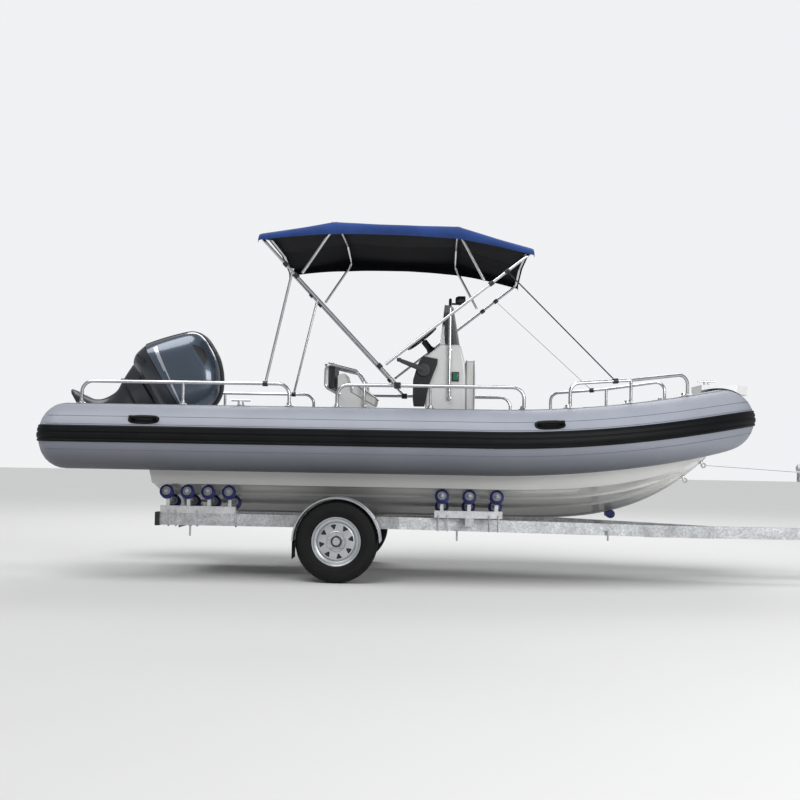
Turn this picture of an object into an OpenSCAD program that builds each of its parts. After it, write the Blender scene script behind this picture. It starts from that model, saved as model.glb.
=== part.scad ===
// Rigid-hulled inflatable boat with a tilted outboard engine, standing on its road trailer.
// +X is forward, +Y is port and Z = 0 is the ground. Lengths are in millimetres.
// Stations are measured forward from the stern ends of the tubes.

/* [Inflated collar] */
// Radius of the inflated tube
tube_r = 265; // [230:5:280]
// Half the spacing of the two side tubes, centre to centre
tube_y = 935; // [900:5:1000]
// Height of the side tubes' centres above the ground
tube_z = 1139; // [1125:1:1160]
// Length of the straight side tubes
straight_l = 3400; // [3300:10:3900]
// Length of the bow curve, to the tube's centre
bow_l = 2280; // [2100:5:2600]
// Rise of the tube's centre at the bow tip
sheer_rise = 240; // [180:5:280]
// Length of the domed stern ends
cap_l = 215; // [150:5:300]
// Thickness of the rub strake
strake_t = 12; // [8:1:16]

/* [Hull] */
// Height of the keel line above the ground
keel_z = 505; // [495:1:515]
// Height of the chine above the ground
chine_z = 765; // [750:1:780]
// Height of the cockpit floor's underside
deck_z = 934; // [925:1:945]
// Thickness of the deck
deck_t = 25; // [15:1:35]
// Station of the hull's after end at the keel
hull_aft_x = 1010; // [980:5:1050]
// Rake of the transom, in degrees
transom_rake = 14; // [8:1:18]
// Thickness of the transom
transom_t = 60; // [45:1:70]
// Height of the transom's top edge
transom_top = 1030; // [1010:1:1050]

/* [Rails and canopy] */
// Diameter of the handrail tube
rail_d = 28; // [22:1:34]
// Height of the side rails' centre line
rail_z = 1585; // [1530:5:1650]
// Diameter of the canopy bows
bow_d = 24; // [19:1:28]
// Half the spacing of the canopy bows' legs
canopy_leg_y = 968; // [964:1:980]
// Height of the highest bow's centre line
canopy_z = 2945; // [2900:5:2960]
// Thickness of the canopy's shell
canopy_t = 8; // [5:1:12]

/* [Console and seats] */
// Half the width of the console
console_y = 350; // [300:5:380]
// Height of the console's top
console_top = 1975; // [1950:5:2000]
// Angle of the steering wheel's plane to the horizontal, in degrees
helm_tilt = 38.8; // [30:1:45]
// Diameter of the steering wheel
helm_d = 320; // [280:5:340]
// Half the width of the helm seat
seat_y = 240; // [200:5:280]

/* [Outboard engine] */
// Angle the engine is tilted up, in degrees
tilt_deg = 58; // [50:1:62]
// Station of the tilt axis
pivot_x = 850; // [845:1:860]
// Height of the tilt axis
pivot_z = 1078; // [1070:1:1085]
// Radius of the propeller
prop_r = 165; // [140:1:170]
// Width of the engine cowl
cowl_w = 480; // [420:5:500]
// Depth of the leg, from the tilt axis to the skeg's tip
leg_l = 1000; // [980:5:1040]

/* [Trailer] */
// Station of the wheel axle
axle_x = 2415; // [2300:5:2600]
// Outer radius of the tyres
tyre_r = 330; // [320:1:335]
// Width of the tyres
tyre_w = 185; // [165:5:195]
// Half the track of the wheels
track_y = 910; // [905:1:930]
// Half the spacing of the side beams
beam_y = 680; // [650:5:690]
// Width of the side beams
beam_w = 50; // [40:1:60]
// Height of the beams' section
beam_h = 100; // [80:1:110]
// Height of the side beams' underside
beam_z = 420; // [415:1:430]
// Station of the coupling's nose
nose_x = 7150; // [7050:10:7300]
// Diameter of the hull rollers
roller_d = 115; // [100:1:120]
// Radius of the ball socket
socket_r = 25.3; // [25.1:0.1:25.6]
// Station of the jockey wheel's leg
jockey_x = 6750; // [6700:10:6800]
// Radius of the jockey wheel
jockey_r = 100; // [90:1:105]

/* [Hidden] */
$fn = 48;
SIDES = [-1, 1];
gap = 0.3;          // seating clearance between neighbouring pieces
pin_gap = 0.08;     // radial clearance of a shaft in its bore
rail_r = rail_d / 2;
bow_r = bow_d / 2;

// ---- vectors -------------------------------------------------------------
function unit(v) = v / norm(v);
function mix(a, b, t) = a + (b - a) * t;
function reversed(list) = [for (i = [len(list) - 1:-1:0]) list[i]];

// ---- the collar's centre line --------------------------------------------
bow_power = 0.9;    // fullness of the bow curve in plan
sheer_start = 3600; // station where the tube begins to rise
bow_steps = 14;
tip_x = straight_l + bow_l;
function path_x(a) = straight_l + bow_l * pow(sin(a), 1 / bow_power);
function path_y(a) = tube_y * cos(a);
function path_angle(x) =
    x <= straight_l ? 0 : asin(min(1, pow((x - straight_l) / bow_l, bow_power)));
function sheer(x) = tube_z + sheer_rise * pow(max(0, x - sheer_start) / (tip_x - sheer_start), 2);
function path_point(a, side) = [path_x(a), side * path_y(a), sheer(path_x(a))];
function path_dx(a) = bow_l / bow_power * pow(sin(a), 1 / bow_power - 1) * cos(a);
function path_yaw(a) = a == 0 ? 0 : atan2(tube_y * sin(a), path_dx(a));
function station_point(x, side) =
    let (a = path_angle(x)) [x, side * path_y(a), sheer(x)];
function sheer_pitch(x) = atan((sheer(x + 5) - sheer(x - 5)) / 10);
bow_angles = [for (i = [0:bow_steps]) 90 * i / bow_steps];
function collar_path(start_x) = concat(
    [[start_x, -tube_y, tube_z]],
    [for (a = bow_angles) path_point(a, -1)],
    reversed([for (i = [0:bow_steps - 1]) path_point(bow_angles[i], 1)]),
    [[start_x, tube_y, tube_z]]);

// Origin: the middle of the outfit's length, on the ground
skeg_u = -490;
function tilted_x(u, w) = pivot_x + u * cos(tilt_deg) + w * sin(tilt_deg);
mid_x = (tilted_x(skeg_u, -leg_l) + nose_x) / 2;
module station() translate([-mid_x, 0, 0]) children();

// ---- general shapes ------------------------------------------------------
// Closed skin through rings that all have the same number of points
module skin(rings) {
    n = len(rings);
    m = len(rings[0]);
    polyhedron(
        points = [for (r = rings) each r],
        faces = concat(
            [[for (j = [m - 1:-1:0]) j]],
            [for (i = [0:n - 2], j = [0:m - 1])
                let (a = i * m + j, b = i * m + (j + 1) % m)
                each [[a, b, a + m], [b, b + m, a + m]]],
            [[for (j = [0:m - 1]) (n - 1) * m + j]]));
}

// Ring of a closed section given as [angle, radius] pairs, square to the direction t
function section_ring(c, t, section) =
    let (o = unit(cross(t, [0, 0, 1])), u = cross(o, t))
    [for (s = section) c + s[1] * (cos(s[0]) * o + sin(s[0]) * u)];
function path_dir(p, i) = unit(p[min(i + 1, len(p) - 1)] - p[max(i - 1, 0)]);
// The collar's centre, outward and upward directions at its i-th bow station, on one side
collar_line = collar_path(cap_l);
function mirrored(v, side) = [v[0], -side * v[1], v[2]];
function bow_frame(i, side) =
    let (t = path_dir(collar_line, i + 1), o = unit(cross(t, [0, 0, 1])))
    [for (v = [collar_line[i + 1], o, cross(o, t)]) mirrored(v, side)];
function stern_frame(side) = [[0, side * tube_y, tube_z], [0, side, 0], [0, 0, 1]];
function round_section(r, n) = [for (k = [0:n - 1]) [360 * k / n, r]];

// Stands its children on point p with their Z axis along direction d
module along(p, d) {
    l = norm([d[0], d[1]]);
    translate(p) rotate([0, atan2(l, d[2]), l == 0 ? 0 : atan2(d[1], d[0])]) children();
}

// Round bar from p to q
module bar(p, q, r) along(p, q - p) cylinder(r = r, h = norm(q - p));

// Round tube along a polyline, with its corners bent to a radius
tube_sides = 14;
bend_steps = 4;
function bend_ring_dirs(p, i, bend) =
    let (
        a = unit(p[i] - p[i - 1]),
        b = unit(p[i + 1] - p[i]),
        turn = acos(a * b),
        centre = p[i] + unit(b - a) * bend / cos(turn / 2),
        ex = unit(p[i] - bend * tan(turn / 2) * a - centre),
        ey = cross(unit(cross(a, b)), ex))
    [for (s = [0:bend_steps]) let (f = turn * s / bend_steps)
        [centre + bend * (cos(f) * ex + sin(f) * ey), cos(f) * ey - sin(f) * ex]];
function carried(rings, o, i = 0) = i == len(rings) ? [] :
    let (t = rings[i][1], n = unit(o - (o * t) * t))
    concat([[rings[i][0], n, cross(t, n)]], carried(rings, n, i + 1));
module bent_tube(p, r, bend) {
    n = len(p);
    rings = concat(
        [[p[0], unit(p[1] - p[0])]],
        [for (i = [1:1:n - 2]) each bend_ring_dirs(p, i, bend)],
        [[p[n - 1], unit(p[n - 1] - p[n - 2])]]);
    first = abs(rings[0][1][1]) > 0.9 ? [1, 0, 0] : [0, 1, 0];
    skin([for (f = carried(rings, first)) [for (k = [0:tube_sides - 1])
        let (a = -360 * k / tube_sides) f[0] + r * (cos(a) * f[1] + sin(a) * f[2])]]);
}

// Flat band from p to q, its width along Y
module band(p, q, w, t) along(p, q - p) translate([-t / 2, -w / 2, 0]) cube([t, w, norm(q - p)]);

// Block centred on Y = 0, given by its lowest and highest X and Z
module block(x0, x1, w, z0, z1) translate([x0, -w / 2, z0]) cube([x1 - x0, w, z1 - z0]);

// Places its children on the collar's surface, Z outward at an elevation, X along the tube
module on_tube(x, side, elevation = 90)
    translate(station_point(x, side))
        rotate([0, -sheer_pitch(x), -side * path_yaw(path_angle(x))])
            rotate([-side * (90 - elevation), 0, 0])
                translate([0, 0, tube_r + gap]) children();

// ---- the boat's body -----------------------------------------------------
flange_w = 45;         // width of the inner flange beside the collar
shelf_a = [30, 62];    // the hull's bearing under the collar, in degrees from straight down
bow_shelf_a = 18;      // where it starts at the bow tip
shelf_steps = 5;
seat_r = (tube_r + gap) / cos((shelf_a[1] - bow_shelf_a) / shelf_steps / 2);
stem_x = tip_x - 95;
keel_start = 3800;     // station where the keel begins to rise
stem_rise = 575;
floor_end = 310;       // from the bow tip's centre back to the cockpit floor's end
function keel_line(x) =
    keel_z + stem_rise * pow(max(0, x - keel_start) / (stem_x - keel_start - 9), 3.1);
function along_bow(a, end_x) = straight_l + (end_x - straight_l) * pow(sin(a), 1 / bow_power);
function bearing_start(a) = mix(shelf_a[0], bow_shelf_a, sin(a));
function under_tube(f, a, r) = f[0] - r * sin(a) * f[1] - r * cos(a) * f[2];
function shelf_lip(f, inset) = under_tube(f, shelf_a[1], seat_r) - (flange_w + inset) * f[1];

// Half section of the hull from the keel out to the collar and in to the cockpit floor
hull_m = shelf_steps + 7;
chine_f = 0.96;   // inner edge of the chine flat, as a share of the bearing's half width
function hull_half(f, a, kx, fx) =
    let (
        k = [kx, 0, keel_line(kx)],
        t = under_tube(f, bearing_start(a), seat_r),
        side_f = mix(1.01, 0.8, pow(sin(a), 2)),
        up = (chine_z - keel_z) / (tube_z - seat_r * cos(shelf_a[0]) - keel_z),
        at = function (h, v) [mix(k[0], t[0], h), mix(k[1], t[1], h), mix(k[2], t[2], v)],
        lip = shelf_lip(f, 0))
    concat(
        [k, at(chine_f * side_f / 1.01, up), at(side_f, up)],
        [for (s = [0:shelf_steps])
            under_tube(f, mix(bearing_start(a), shelf_a[1], s / shelf_steps), seat_r)],
        [lip, [lip[0], lip[1], deck_z], [fx, 0, deck_z]]);
function raked(p) = [p[0] - (p[2] - keel_z) * tan(transom_rake), p[1], p[2]];
function hull_ring(i, side) = i == 0
    ? [for (p = hull_half(stern_frame(side) + [[hull_aft_x, 0, 0], [0, 0, 0], [0, 0, 0]], 0,
                          hull_aft_x, hull_aft_x)) raked(p)]
    : let (a = bow_angles[i - 1])
      hull_half(bow_frame(i - 1, side), a, along_bow(a, stem_x), along_bow(a, tip_x - floor_end));

module boat_hull() color("whitesmoke") station() {
    n = bow_steps + 2;
    m = hull_m;
    index = function (side, i, j)
        ((side == 0 || j == 0 || j == m - 1 || i == n - 1) ? 0 : n * m) + i * m + j;
    polyhedron(
        points = [for (side = SIDES, i = [0:n - 1]) each hull_ring(i, side)],
        faces = concat(
            [for (i = [0:n - 2], j = [0:m - 2])
                let (a = index(0, i, j), b = index(0, i, j + 1),
                     c = index(0, i + 1, j), d = index(0, i + 1, j + 1))
                each j == 0 ? [[a, b, c], [b, d, c]] : [[a, b, d], [a, d, c]]],
            [for (i = [0:n - 2], j = [0:m - 2])
                let (a = index(1, i, j), b = index(1, i, j + 1),
                     c = index(1, i + 1, j), d = index(1, i + 1, j + 1))
                each j == 0 ? [[a, c, b], [b, c, d]] : [[a, d, b], [a, c, d]]],
            [concat([for (j = [m - 1:-1:0]) index(0, 0, j)], [for (j = [1:m - 2]) index(1, 0, j)])]));
}

function deck_edge(i, side, inset) = let (p = shelf_lip(bow_frame(i, side), inset)) [p[0], p[1]];
function rake_x(z) = hull_aft_x - (z - keel_z) * tan(transom_rake);
deck_top = deck_z + deck_t;

module deck() color("gainsboro") station() {
    aft = rake_x(deck_z) + gap;
    half = shelf_lip(stern_frame(1), 1)[1];
    last = bow_steps - 2;
    translate([0, 0, deck_z]) linear_extrude(deck_t) polygon(concat(
        [[aft, half], [aft, -half]],
        [for (i = [0:last]) deck_edge(i, -1, 1)],
        [for (i = [last:-1:0]) deck_edge(i, 1, 1)]));
}

module transom() color("white") station() {
    f = stern_frame(1);
    top_a = acos((tube_z - transom_top) / seat_r);
    half = concat(
        [for (j = [0:2]) let (p = hull_half(f, 0, 0, 0)[j]) [p[1], p[2]]],
        [for (s = [0:4]) let (p = under_tube(f, mix(shelf_a[0], top_a, s / 4), seat_r + 0.5)) [p[1], p[2]]]);
    outline = concat(half, [for (i = [len(half) - 1:-1:1]) [-half[i][0], half[i][1]]]);
    skin([for (t = [-gap, -transom_t]) [for (p = outline) [rake_x(p[1]) + t, p[0], p[1]]]]);
}

module collar() color("lightsteelblue") station() {
    caps = [80, 60, 40, 20];
    p = collar_path(cap_l);
    sides = 40;
    cap = function (a, side, t) section_ring(
        [cap_l * (1 - sin(a) / sin(caps[0])), side * tube_y, tube_z], t,
        round_section(tube_r * cos(a), sides));
    skin(concat(
        [for (a = caps) cap(a, -1, [1, 0, 0])],
        [for (i = [0:len(p) - 1]) section_ring(p[i], path_dir(p, i), round_section(tube_r, sides))],
        [for (a = reversed(caps)) cap(a, 1, [-1, 0, 0])]));
}

module rub_strake() color([0.08, 0.08, 0.09]) station() {
    p = collar_path(cap_l + 5);
    angles = [-9, 0, 9, 18];
    section = concat([for (a = angles) [a, tube_r + strake_t]],
                     [for (a = reversed(angles)) [a, tube_r + gap + 0.25]]);
    skin([for (i = [0:len(p) - 1]) section_ring(p[i], path_dir(p, i), section)]);
}

module tube_handles() color([0.1, 0.1, 0.11]) station()
    for (at = [[890, 0.4], [4065, 1.2]], side = SIDES) {
        on_tube(at[0], side, 31) translate([-110, 0, 34]) rotate([0, 90, 0]) cylinder(r = 13, h = 220);
        for (end = [-90, 90]) on_tube(at[0] + end, side, 31) translate([0, 0, -at[1]]) cylinder(r = 16, h = 36);
    }

plate_up = 28;   // rise of the bow plate above the tube's crest
module bow_plate() color("white") station() {
    tip_r = 345;
    tip_z = tube_z + sheer_rise;
    difference() {
        translate([0, 0, tip_z + 215]) linear_extrude(tube_r - 215 + plate_up) polygon([
            [tip_x - 215, -210], [tip_x + 90, -200], [tip_x + 190, -140], [tip_x + 215, 0],
            [tip_x + 190, 140], [tip_x + 90, 200], [tip_x - 215, 210]]);
        translate([tip_x - tip_r, 0, tip_z])
            rotate_extrude($fn = 96) translate([tip_r, 0]) circle(tube_r + gap + 1);
    }
}

module cleat() {
    cylinder(r = 30, h = 8);
    for (x = [-28, 28]) translate([x / 1.6, 0, 0]) cylinder(r = 8, h = 40);
    translate([-75, 0, 42]) rotate([0, 90, 0]) cylinder(r = 9, h = 150);
}
module mooring_cleats() color("silver") station() {
    for (side = SIDES) on_tube(1620, side) cleat();
    translate([tip_x - 130, 0, tube_z + sheer_rise + tube_r + plate_up + gap]) cleat();
}

upper_eye_x = tip_x - 178;
lower_eye_x = tip_x - 335;
eye_r = 10;
eye_out = 40;
function stem_slope(x) = atan((keel_line(x + 1) - keel_line(x - 1)) / 2);
function eye_point(x, out) =
    [x, 0, keel_line(x)] + out * [sin(stem_slope(x)), 0, -cos(stem_slope(x))];
module bow_eyes() color("silver") station() {
    for (x = [upper_eye_x, lower_eye_x]) difference() {
        union() {
            along(eye_point(x, gap), eye_point(x, 1) - eye_point(x, 0)) {
                cylinder(r = 26, h = 6);
                cylinder(r = 9, h = eye_out - 15);
            }
            translate(eye_point(x, eye_out)) rotate([90, 0, 0]) cylinder(r = 24, h = 12, center = true);
        }
        translate(eye_point(x, eye_out)) rotate([90, 0, 0]) cylinder(r = eye_r, h = 20, center = true);
    }
}

locker_x0 = 4560;
locker_x1 = 5240;
locker_top = 1330;
locker_wall = 14;
hatch_x = [4700, 5110];
hatch_y = 230;
hinge_r = 8;
module locker_plan(inset) intersection() {
    polygon(concat([for (i = [0:bow_steps - 1]) deck_edge(i, -1, inset + 6)],
                   [for (i = [bow_steps - 1:-1:0]) deck_edge(i, 1, inset + 6)]));
    translate([locker_x0 + inset, -600]) square([locker_x1 - locker_x0 - 2 * inset, 1200]);
}
module bow_locker() color("whitesmoke") station() difference() {
    translate([0, 0, deck_top]) linear_extrude(locker_top - deck_top) locker_plan(0);
    translate([0, 0, deck_top + locker_wall])
        linear_extrude(locker_top - deck_top - 2 * locker_wall) locker_plan(locker_wall);
    translate([hatch_x[0], -hatch_y, locker_top - 2 * locker_wall])
        cube([hatch_x[1] - hatch_x[0], 2 * hatch_y, 3 * locker_wall]);
}
lid_hinge = [hatch_x[1] + 40, locker_top + hinge_r + 6];
module bow_locker_lid() color("white") station() {
    translate([hatch_x[0] - 20, -hatch_y - 20, locker_top + gap])
        cube([hatch_x[1] - hatch_x[0] + 30, 2 * hatch_y + 40, 18]);
    for (side = SIDES) translate([0, side * hatch_y * 0.7, 0]) {
        translate([lid_hinge[0], 20, lid_hinge[1]]) rotate([90, 0, 0]) cylinder(r = hinge_r, h = 40);
        translate([hatch_x[1] - 10, -20, locker_top + gap + 10]) cube([50, 40, 7]);
    }
}

// ---- rails ---------------------------------------------------------------
foot_h = 14;
function rail_foot(x, side) = station_point(x, side) + [0, 0, tube_r + 1];
module rail_base(x, side) on_tube(x, side) translate([0, 0, gap + 0.1]) cylinder(r = 34, h = foot_h + 2);
module side_rail(x0, x1, posts) for (side = SIDES) {
    y = side * tube_y;
    foot = tube_z + tube_r + foot_h;
    bent_tube([[x0, y, foot], [x0, y, rail_z], [x1, y, rail_z], [x1, y, foot]], rail_r, 90);
    for (x = posts) bar([x, y, foot], [x, y, rail_z + 4], rail_r - 1.5);
    for (x = concat([x0, x1], posts)) rail_base(x, side);
}
stern_rail_x = [324, 2010];
midship_rail_x = [2396, 3896];
bow_rail_x = [4273, 4780, 5283];
bow_rail_up = 199;
module stern_rails() color("silver") station()
    side_rail(stern_rail_x[0], stern_rail_x[1], [1150]);
module midship_rails() color("silver") station()
    side_rail(midship_rail_x[0], midship_rail_x[1], [3147]);
function bow_rail_top(i, side) = rail_foot(bow_rail_x[i], side) + [0, 0, bow_rail_up - 10 * i];
module bow_rails() color("silver") station() for (side = SIDES) {
    foot = function (i) rail_foot(bow_rail_x[i], side) + [0, 0, foot_h];
    bent_tube([foot(0), bow_rail_top(0, side), bow_rail_top(1, side),
               bow_rail_top(2, side), foot(2)], rail_r, 80);
    bar(foot(1), bow_rail_top(1, side) + [0, 0, 4], rail_r - 1.5);
    for (x = bow_rail_x) rail_base(x, side);
}

// ---- console and helm ----------------------------------------------------
console_x = [3096, 3440];
helm_face_x = 3225;
helm_face_z = console_top - (helm_face_x - console_x[0]) * tan(helm_tilt);
module console() color("white") station() {
    rotate([90, 0, 0]) translate([0, 0, -console_y]) linear_extrude(2 * console_y) polygon([
        [console_x[0] + 20, deck_top], [console_x[0], 1500], [console_x[0], helm_face_z],
        [helm_face_x, console_top], [3400, console_top], [console_x[1], 1900],
        [console_x[1], deck_top]]);
    block(console_x[1] - 1, 3850, 2 * console_y - 60, deck_top, 1340);
}
screen_z = [console_top + gap, 2320];
module windscreen() color([0.2, 0.22, 0.24, 0.6]) station() {
    t = 6;
    wall = function (a, k, inset) let (
        cx = mix(3215, 3252, k),
        rx = mix(180, 82, k) - inset,
        ry = mix(console_y - 12, console_y - 60, k) - inset)
        [cx + rx * cos(a), ry * sin(a), screen_z[k]];
    skin([for (a = [-90:15:90]) [wall(a, 0, 0), wall(a, 1, 0), wall(a, 1, t), wall(a, 0, t)]]);
}
console_rail_x = 3300;
console_rail_r = 13;
console_rail_z = 2365;
module console_rail() color("silver") station() {
    y = console_y + rail_r + 12;
    bent_tube([[console_rail_x, -y, 1500], [console_rail_x, -y, console_rail_z],
               [console_rail_x, y, console_rail_z], [console_rail_x, y, 1500]], console_rail_r, 90);
    for (side = SIDES, z = [1515, 1930]) translate([console_rail_x, side * y, z])
        rotate([side * 90, 0, 0]) cylinder(r = 15, h = rail_r + 12 - gap);
}
module searchlight() color([0.12, 0.12, 0.13]) station() {
    along([console_rail_x + console_rail_r + 0.1, 0, console_rail_z], [1, 0, 0]) cylinder(r = 9, h = 70);
    translate([3345, 0, console_rail_z + 30]) rotate([0, 90, 0]) rotate_extrude()
        polygon([[0, 0], [28, 4], [40, 30], [40, 90], [0, 90]]);
}
module nav_lights() color("seagreen") station()
    for (side = SIDES) translate([console_rail_x + 22, side > 0 ? console_y + gap : -console_y - gap - 22, 1660])
        cube([60, 22, 80]);

helm_axis = [-sin(helm_tilt), 0, cos(helm_tilt)];
helm_face_mid = [(console_x[0] + helm_face_x) / 2, 0, (helm_face_z + console_top) / 2];
helm_reach = 170;
helm_centre = helm_face_mid + helm_reach * helm_axis;
throttle = [3150, -console_y - gap, 1752];
module helm_controls() color([0.1, 0.1, 0.11]) station() {
    along(helm_face_mid + gap * helm_axis, helm_axis) {
        cylinder(r = 60, h = 12);
        cylinder(r1 = 45, r2 = 28, h = 60);
        cylinder(r = 28, h = helm_reach - 30);
        cylinder(r = 10, h = helm_reach + 22);
    }
    translate(throttle) rotate([90, 0, 0]) {
        translate([-50, -90, 0]) cube([120, 160, 30]);
        cylinder(r = 50, h = 52);
    }
    bar(throttle + [0, -44, 0], throttle + [-225, -44, 62], 11);
    translate(throttle + [-235, -44, 64]) rotate([90, 0, 0]) cylinder(r = 20, h = 60, center = true);
}
module steering_wheel() color([0.15, 0.15, 0.16]) station()
    along(helm_centre, helm_axis) difference() {
        union() {
            rotate_extrude($fn = 96) translate([helm_d / 2 - 14, 0]) circle(14);
            for (k = [0:2]) rotate([0, 0, 120 * k + 60]) translate([0, -14, -7])
                cube([helm_d / 2 - 14, 28, 10]);
            translate([0, 0, -16]) cylinder(r = 36, h = 32);
        }
        translate([0, 0, -40]) cylinder(r = 10 + pin_gap, h = 80);
    }
module console_seat() color("white") station() {
    block(console_x[1] + 90, 3850, 2 * console_y - 80, 1340 + gap, 1425);
    block(console_x[1] + gap, console_x[1] + 84, 2 * console_y - 80, 1345, 1850);
}

// ---- helm seat -----------------------------------------------------------
seat_x = [2340, 2680];
module helm_seat() color("white") station() difference() {
    rotate([90, 0, 0]) translate([0, 0, -seat_y]) linear_extrude(2 * seat_y) polygon([
        [seat_x[0] + 30, deck_top], [seat_x[0], 1400], [seat_x[0], 1700], [seat_x[0] + 30, 1720],
        [seat_x[0] + 60, 1720], [seat_x[0] + 110, 1560], [seat_x[1] - 20, 1440],
        [seat_x[1], 1400], [seat_x[1] - 30, deck_top]]);
    block(seat_x[0] + 120, seat_x[1] + 10, 2 * seat_y - 120, deck_top + 60, 1250);
}
module helm_seat_cushion() color("white") station()
    rotate([90, 0, 0]) translate([0, 0, -seat_y + 20]) linear_extrude(2 * seat_y - 40) polygon([
        [seat_x[0] + 110, 1560.5], [seat_x[0] + 150, 1640], [seat_x[1] - 10, 1510], [seat_x[1] - 20, 1440.5]]);
frame_y = seat_y + 22;
module helm_seat_frame() color("silver") station() {
    for (side = SIDES)
        bent_tube([[2235, side * frame_y, 1790], [2420, side * frame_y, 1790],
                   [2570, side * frame_y, 1640], [2570, side * frame_y, 1420]], 13, 50);
    bar([2240, -frame_y, 1790], [2240, frame_y, 1790], 12);
    for (side = SIDES) translate([2570, side * frame_y, 1440])
        rotate([side * 90, 0, 0]) cylinder(r = 14, h = 22 - gap);
}
module helm_backrest() color([0.16, 0.17, 0.19]) station()
    translate([2252.3, -frame_y + 30, 1650]) cube([60, 2 * frame_y - 60, 250]);

// ---- sun canopy ----------------------------------------------------------
// Each bow: station and height of its foot, then of its shoulder; the crown rises above
shoulder_drop = 85;
crown_y = 430;
aft_main = [[2882, rail_z], [1765, canopy_z - 185]];
fore_main = [[2765, 1738], [3935, canopy_z - 280]];
aft_second = [[2085, 2458], [2350, canopy_z - shoulder_drop]];
fore_second = [[3577, 2416], [3350, canopy_z - shoulder_drop - 27]];
ring_r = bow_r + 8;
function flat3(p, y) = [p[0], y, p[1]];
function on_leg(b, z) = [mix(b[0][0], b[1][0], (z - b[0][1]) / (b[1][1] - b[0][1])), z];
function leg_dir(b) = unit(b[1] - b[0]);
module canopy_bow(b, start) {
    y = canopy_leg_y;
    foot = b[0] + start * leg_dir(b);
    top = b[1][1] + shoulder_drop;
    bent_tube([flat3(foot, -y), flat3(b[1], -y), [b[1][0], -crown_y, top],
               [b[1][0], crown_y, top], flat3(b[1], y), flat3(foot, y)], bow_r, 70);
}
module canopy_main_bows() color("silver") station() {
    canopy_bow(aft_main, -20);
    canopy_bow(fore_main, ring_r + 3);
}
module canopy_secondary_bows() color("silver") station() {
    canopy_bow(aft_second, ring_r + 6);
    canopy_bow(fore_second, ring_r + 7);
}
pole_foot_x = 1814;
pole_top = on_leg(aft_main, 2550);
strap_top = on_leg(fore_main, 2515);
function pole_end(side) = [
    [pole_foot_x, side * tube_y, rail_z],
    [pole_top[0], side * canopy_leg_y, pole_top[1]]];
module canopy_poles() color("silver") station() for (side = SIDES) {
    e = pole_end(side);
    d = unit(e[1] - e[0]);
    bar(e[0] + (rail_r + 10.3) * d, e[1] - (ring_r + 15) * d, bow_r - 1);
}
strap_x = 4649;
function strap_foot(side) = mix(bow_rail_top(0, side), bow_rail_top(1, side),
                                (strap_x - bow_rail_x[0]) / (bow_rail_x[1] - bow_rail_x[0]));
module clamp_ring(p, d, r) along(p - 20 * unit(d), d) difference() {
    cylinder(r = r + 8, h = 40);
    translate([0, 0, -1]) cylinder(r = r + gap, h = 42);
}
module canopy_fittings() color([0.1, 0.1, 0.11]) station() for (side = SIDES) {
    y = side * canopy_leg_y;
    for (b = [fore_main, aft_second, fore_second]) {
        parent = b == fore_second ? fore_main : aft_main;
        clamp_ring(flat3(on_leg(parent, b[0][1]), y), flat3(leg_dir(parent), 0), bow_r);
    }
    clamp_ring(flat3(pole_top, y), flat3(leg_dir(aft_main), 0), bow_r);
    clamp_ring(flat3(strap_top, y), flat3(leg_dir(fore_main), 0), bow_r);
    clamp_ring([pole_foot_x, side * tube_y, rail_z], [1, 0, 0], rail_r);
    clamp_ring(strap_foot(side), bow_rail_top(1, side) - bow_rail_top(0, side), rail_r);
    difference() {
        translate([aft_main[0][0], side * (tube_y + canopy_leg_y) / 2, rail_z])
            cube([50, 88, 48], center = true);
        translate([0, side * tube_y, rail_z]) rotate([0, 90, 0]) cylinder(r = rail_r + gap, h = 6000);
        bar(flat3(aft_main[0] - 60 * leg_dir(aft_main), y), flat3(aft_main[1], y), bow_r + gap);
    }
}

// The sheet's bow stations: after valance, over each bow, forward valance
module canopy_sheet() color("midnightblue") station() {
    t = canopy_t;
    lift = bow_r + 8.6 + t;
    side_drop = 95;
    end_drop = 45;
    over = bow_r + 12;
    edge_y = canopy_leg_y + bow_r + 8 + t;
    cut = function (xo, xi, z, drop) concat(
        [[xo, -edge_y, z - drop], [xo, -edge_y + 4, z - 12], [xo, -crown_y, z + shoulder_drop],
         [xo, crown_y, z + shoulder_drop], [xo, edge_y - 4, z - 12], [xo, edge_y, z - drop]],
        [[xi, edge_y - t, z - drop], [xi, edge_y - t - 4, z - 12 - t],
         [xi, crown_y, z + shoulder_drop - t], [xi, -crown_y, z + shoulder_drop - t],
         [xi, -edge_y + t + 4, z - 12 - t], [xi, -edge_y + t, z - drop]]);
    x0 = aft_main[1][0] - over - t;
    x1 = fore_main[1][0] + over + t;
    z0 = aft_main[1][1] + lift;
    z1 = fore_main[1][1] + lift;
    skin([cut(x0, x0 + t, z0 - 30, end_drop), cut(x0 + 2, x0 + t + 2, z0, end_drop),
          cut(aft_main[1][0], aft_main[1][0], z0, end_drop),
          for (b = [aft_second, fore_second]) cut(b[1][0], b[1][0], b[1][1] + lift, side_drop),
          cut(fore_main[1][0], fore_main[1][0], z1, end_drop),
          cut(x1 - 2, x1 - t - 2, z1, end_drop), cut(x1, x1 - t, z1 - 30, end_drop)]);
}
module canopy_straps() color([0.1, 0.1, 0.12]) station() for (side = SIDES) {
    low = strap_foot(side);
    high = flat3(strap_top, side * canopy_leg_y);
    d = unit(high - low);
    band(low + (rail_r + 16) * d, high - (ring_r + 5) * d, 25, 3);
}

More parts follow.
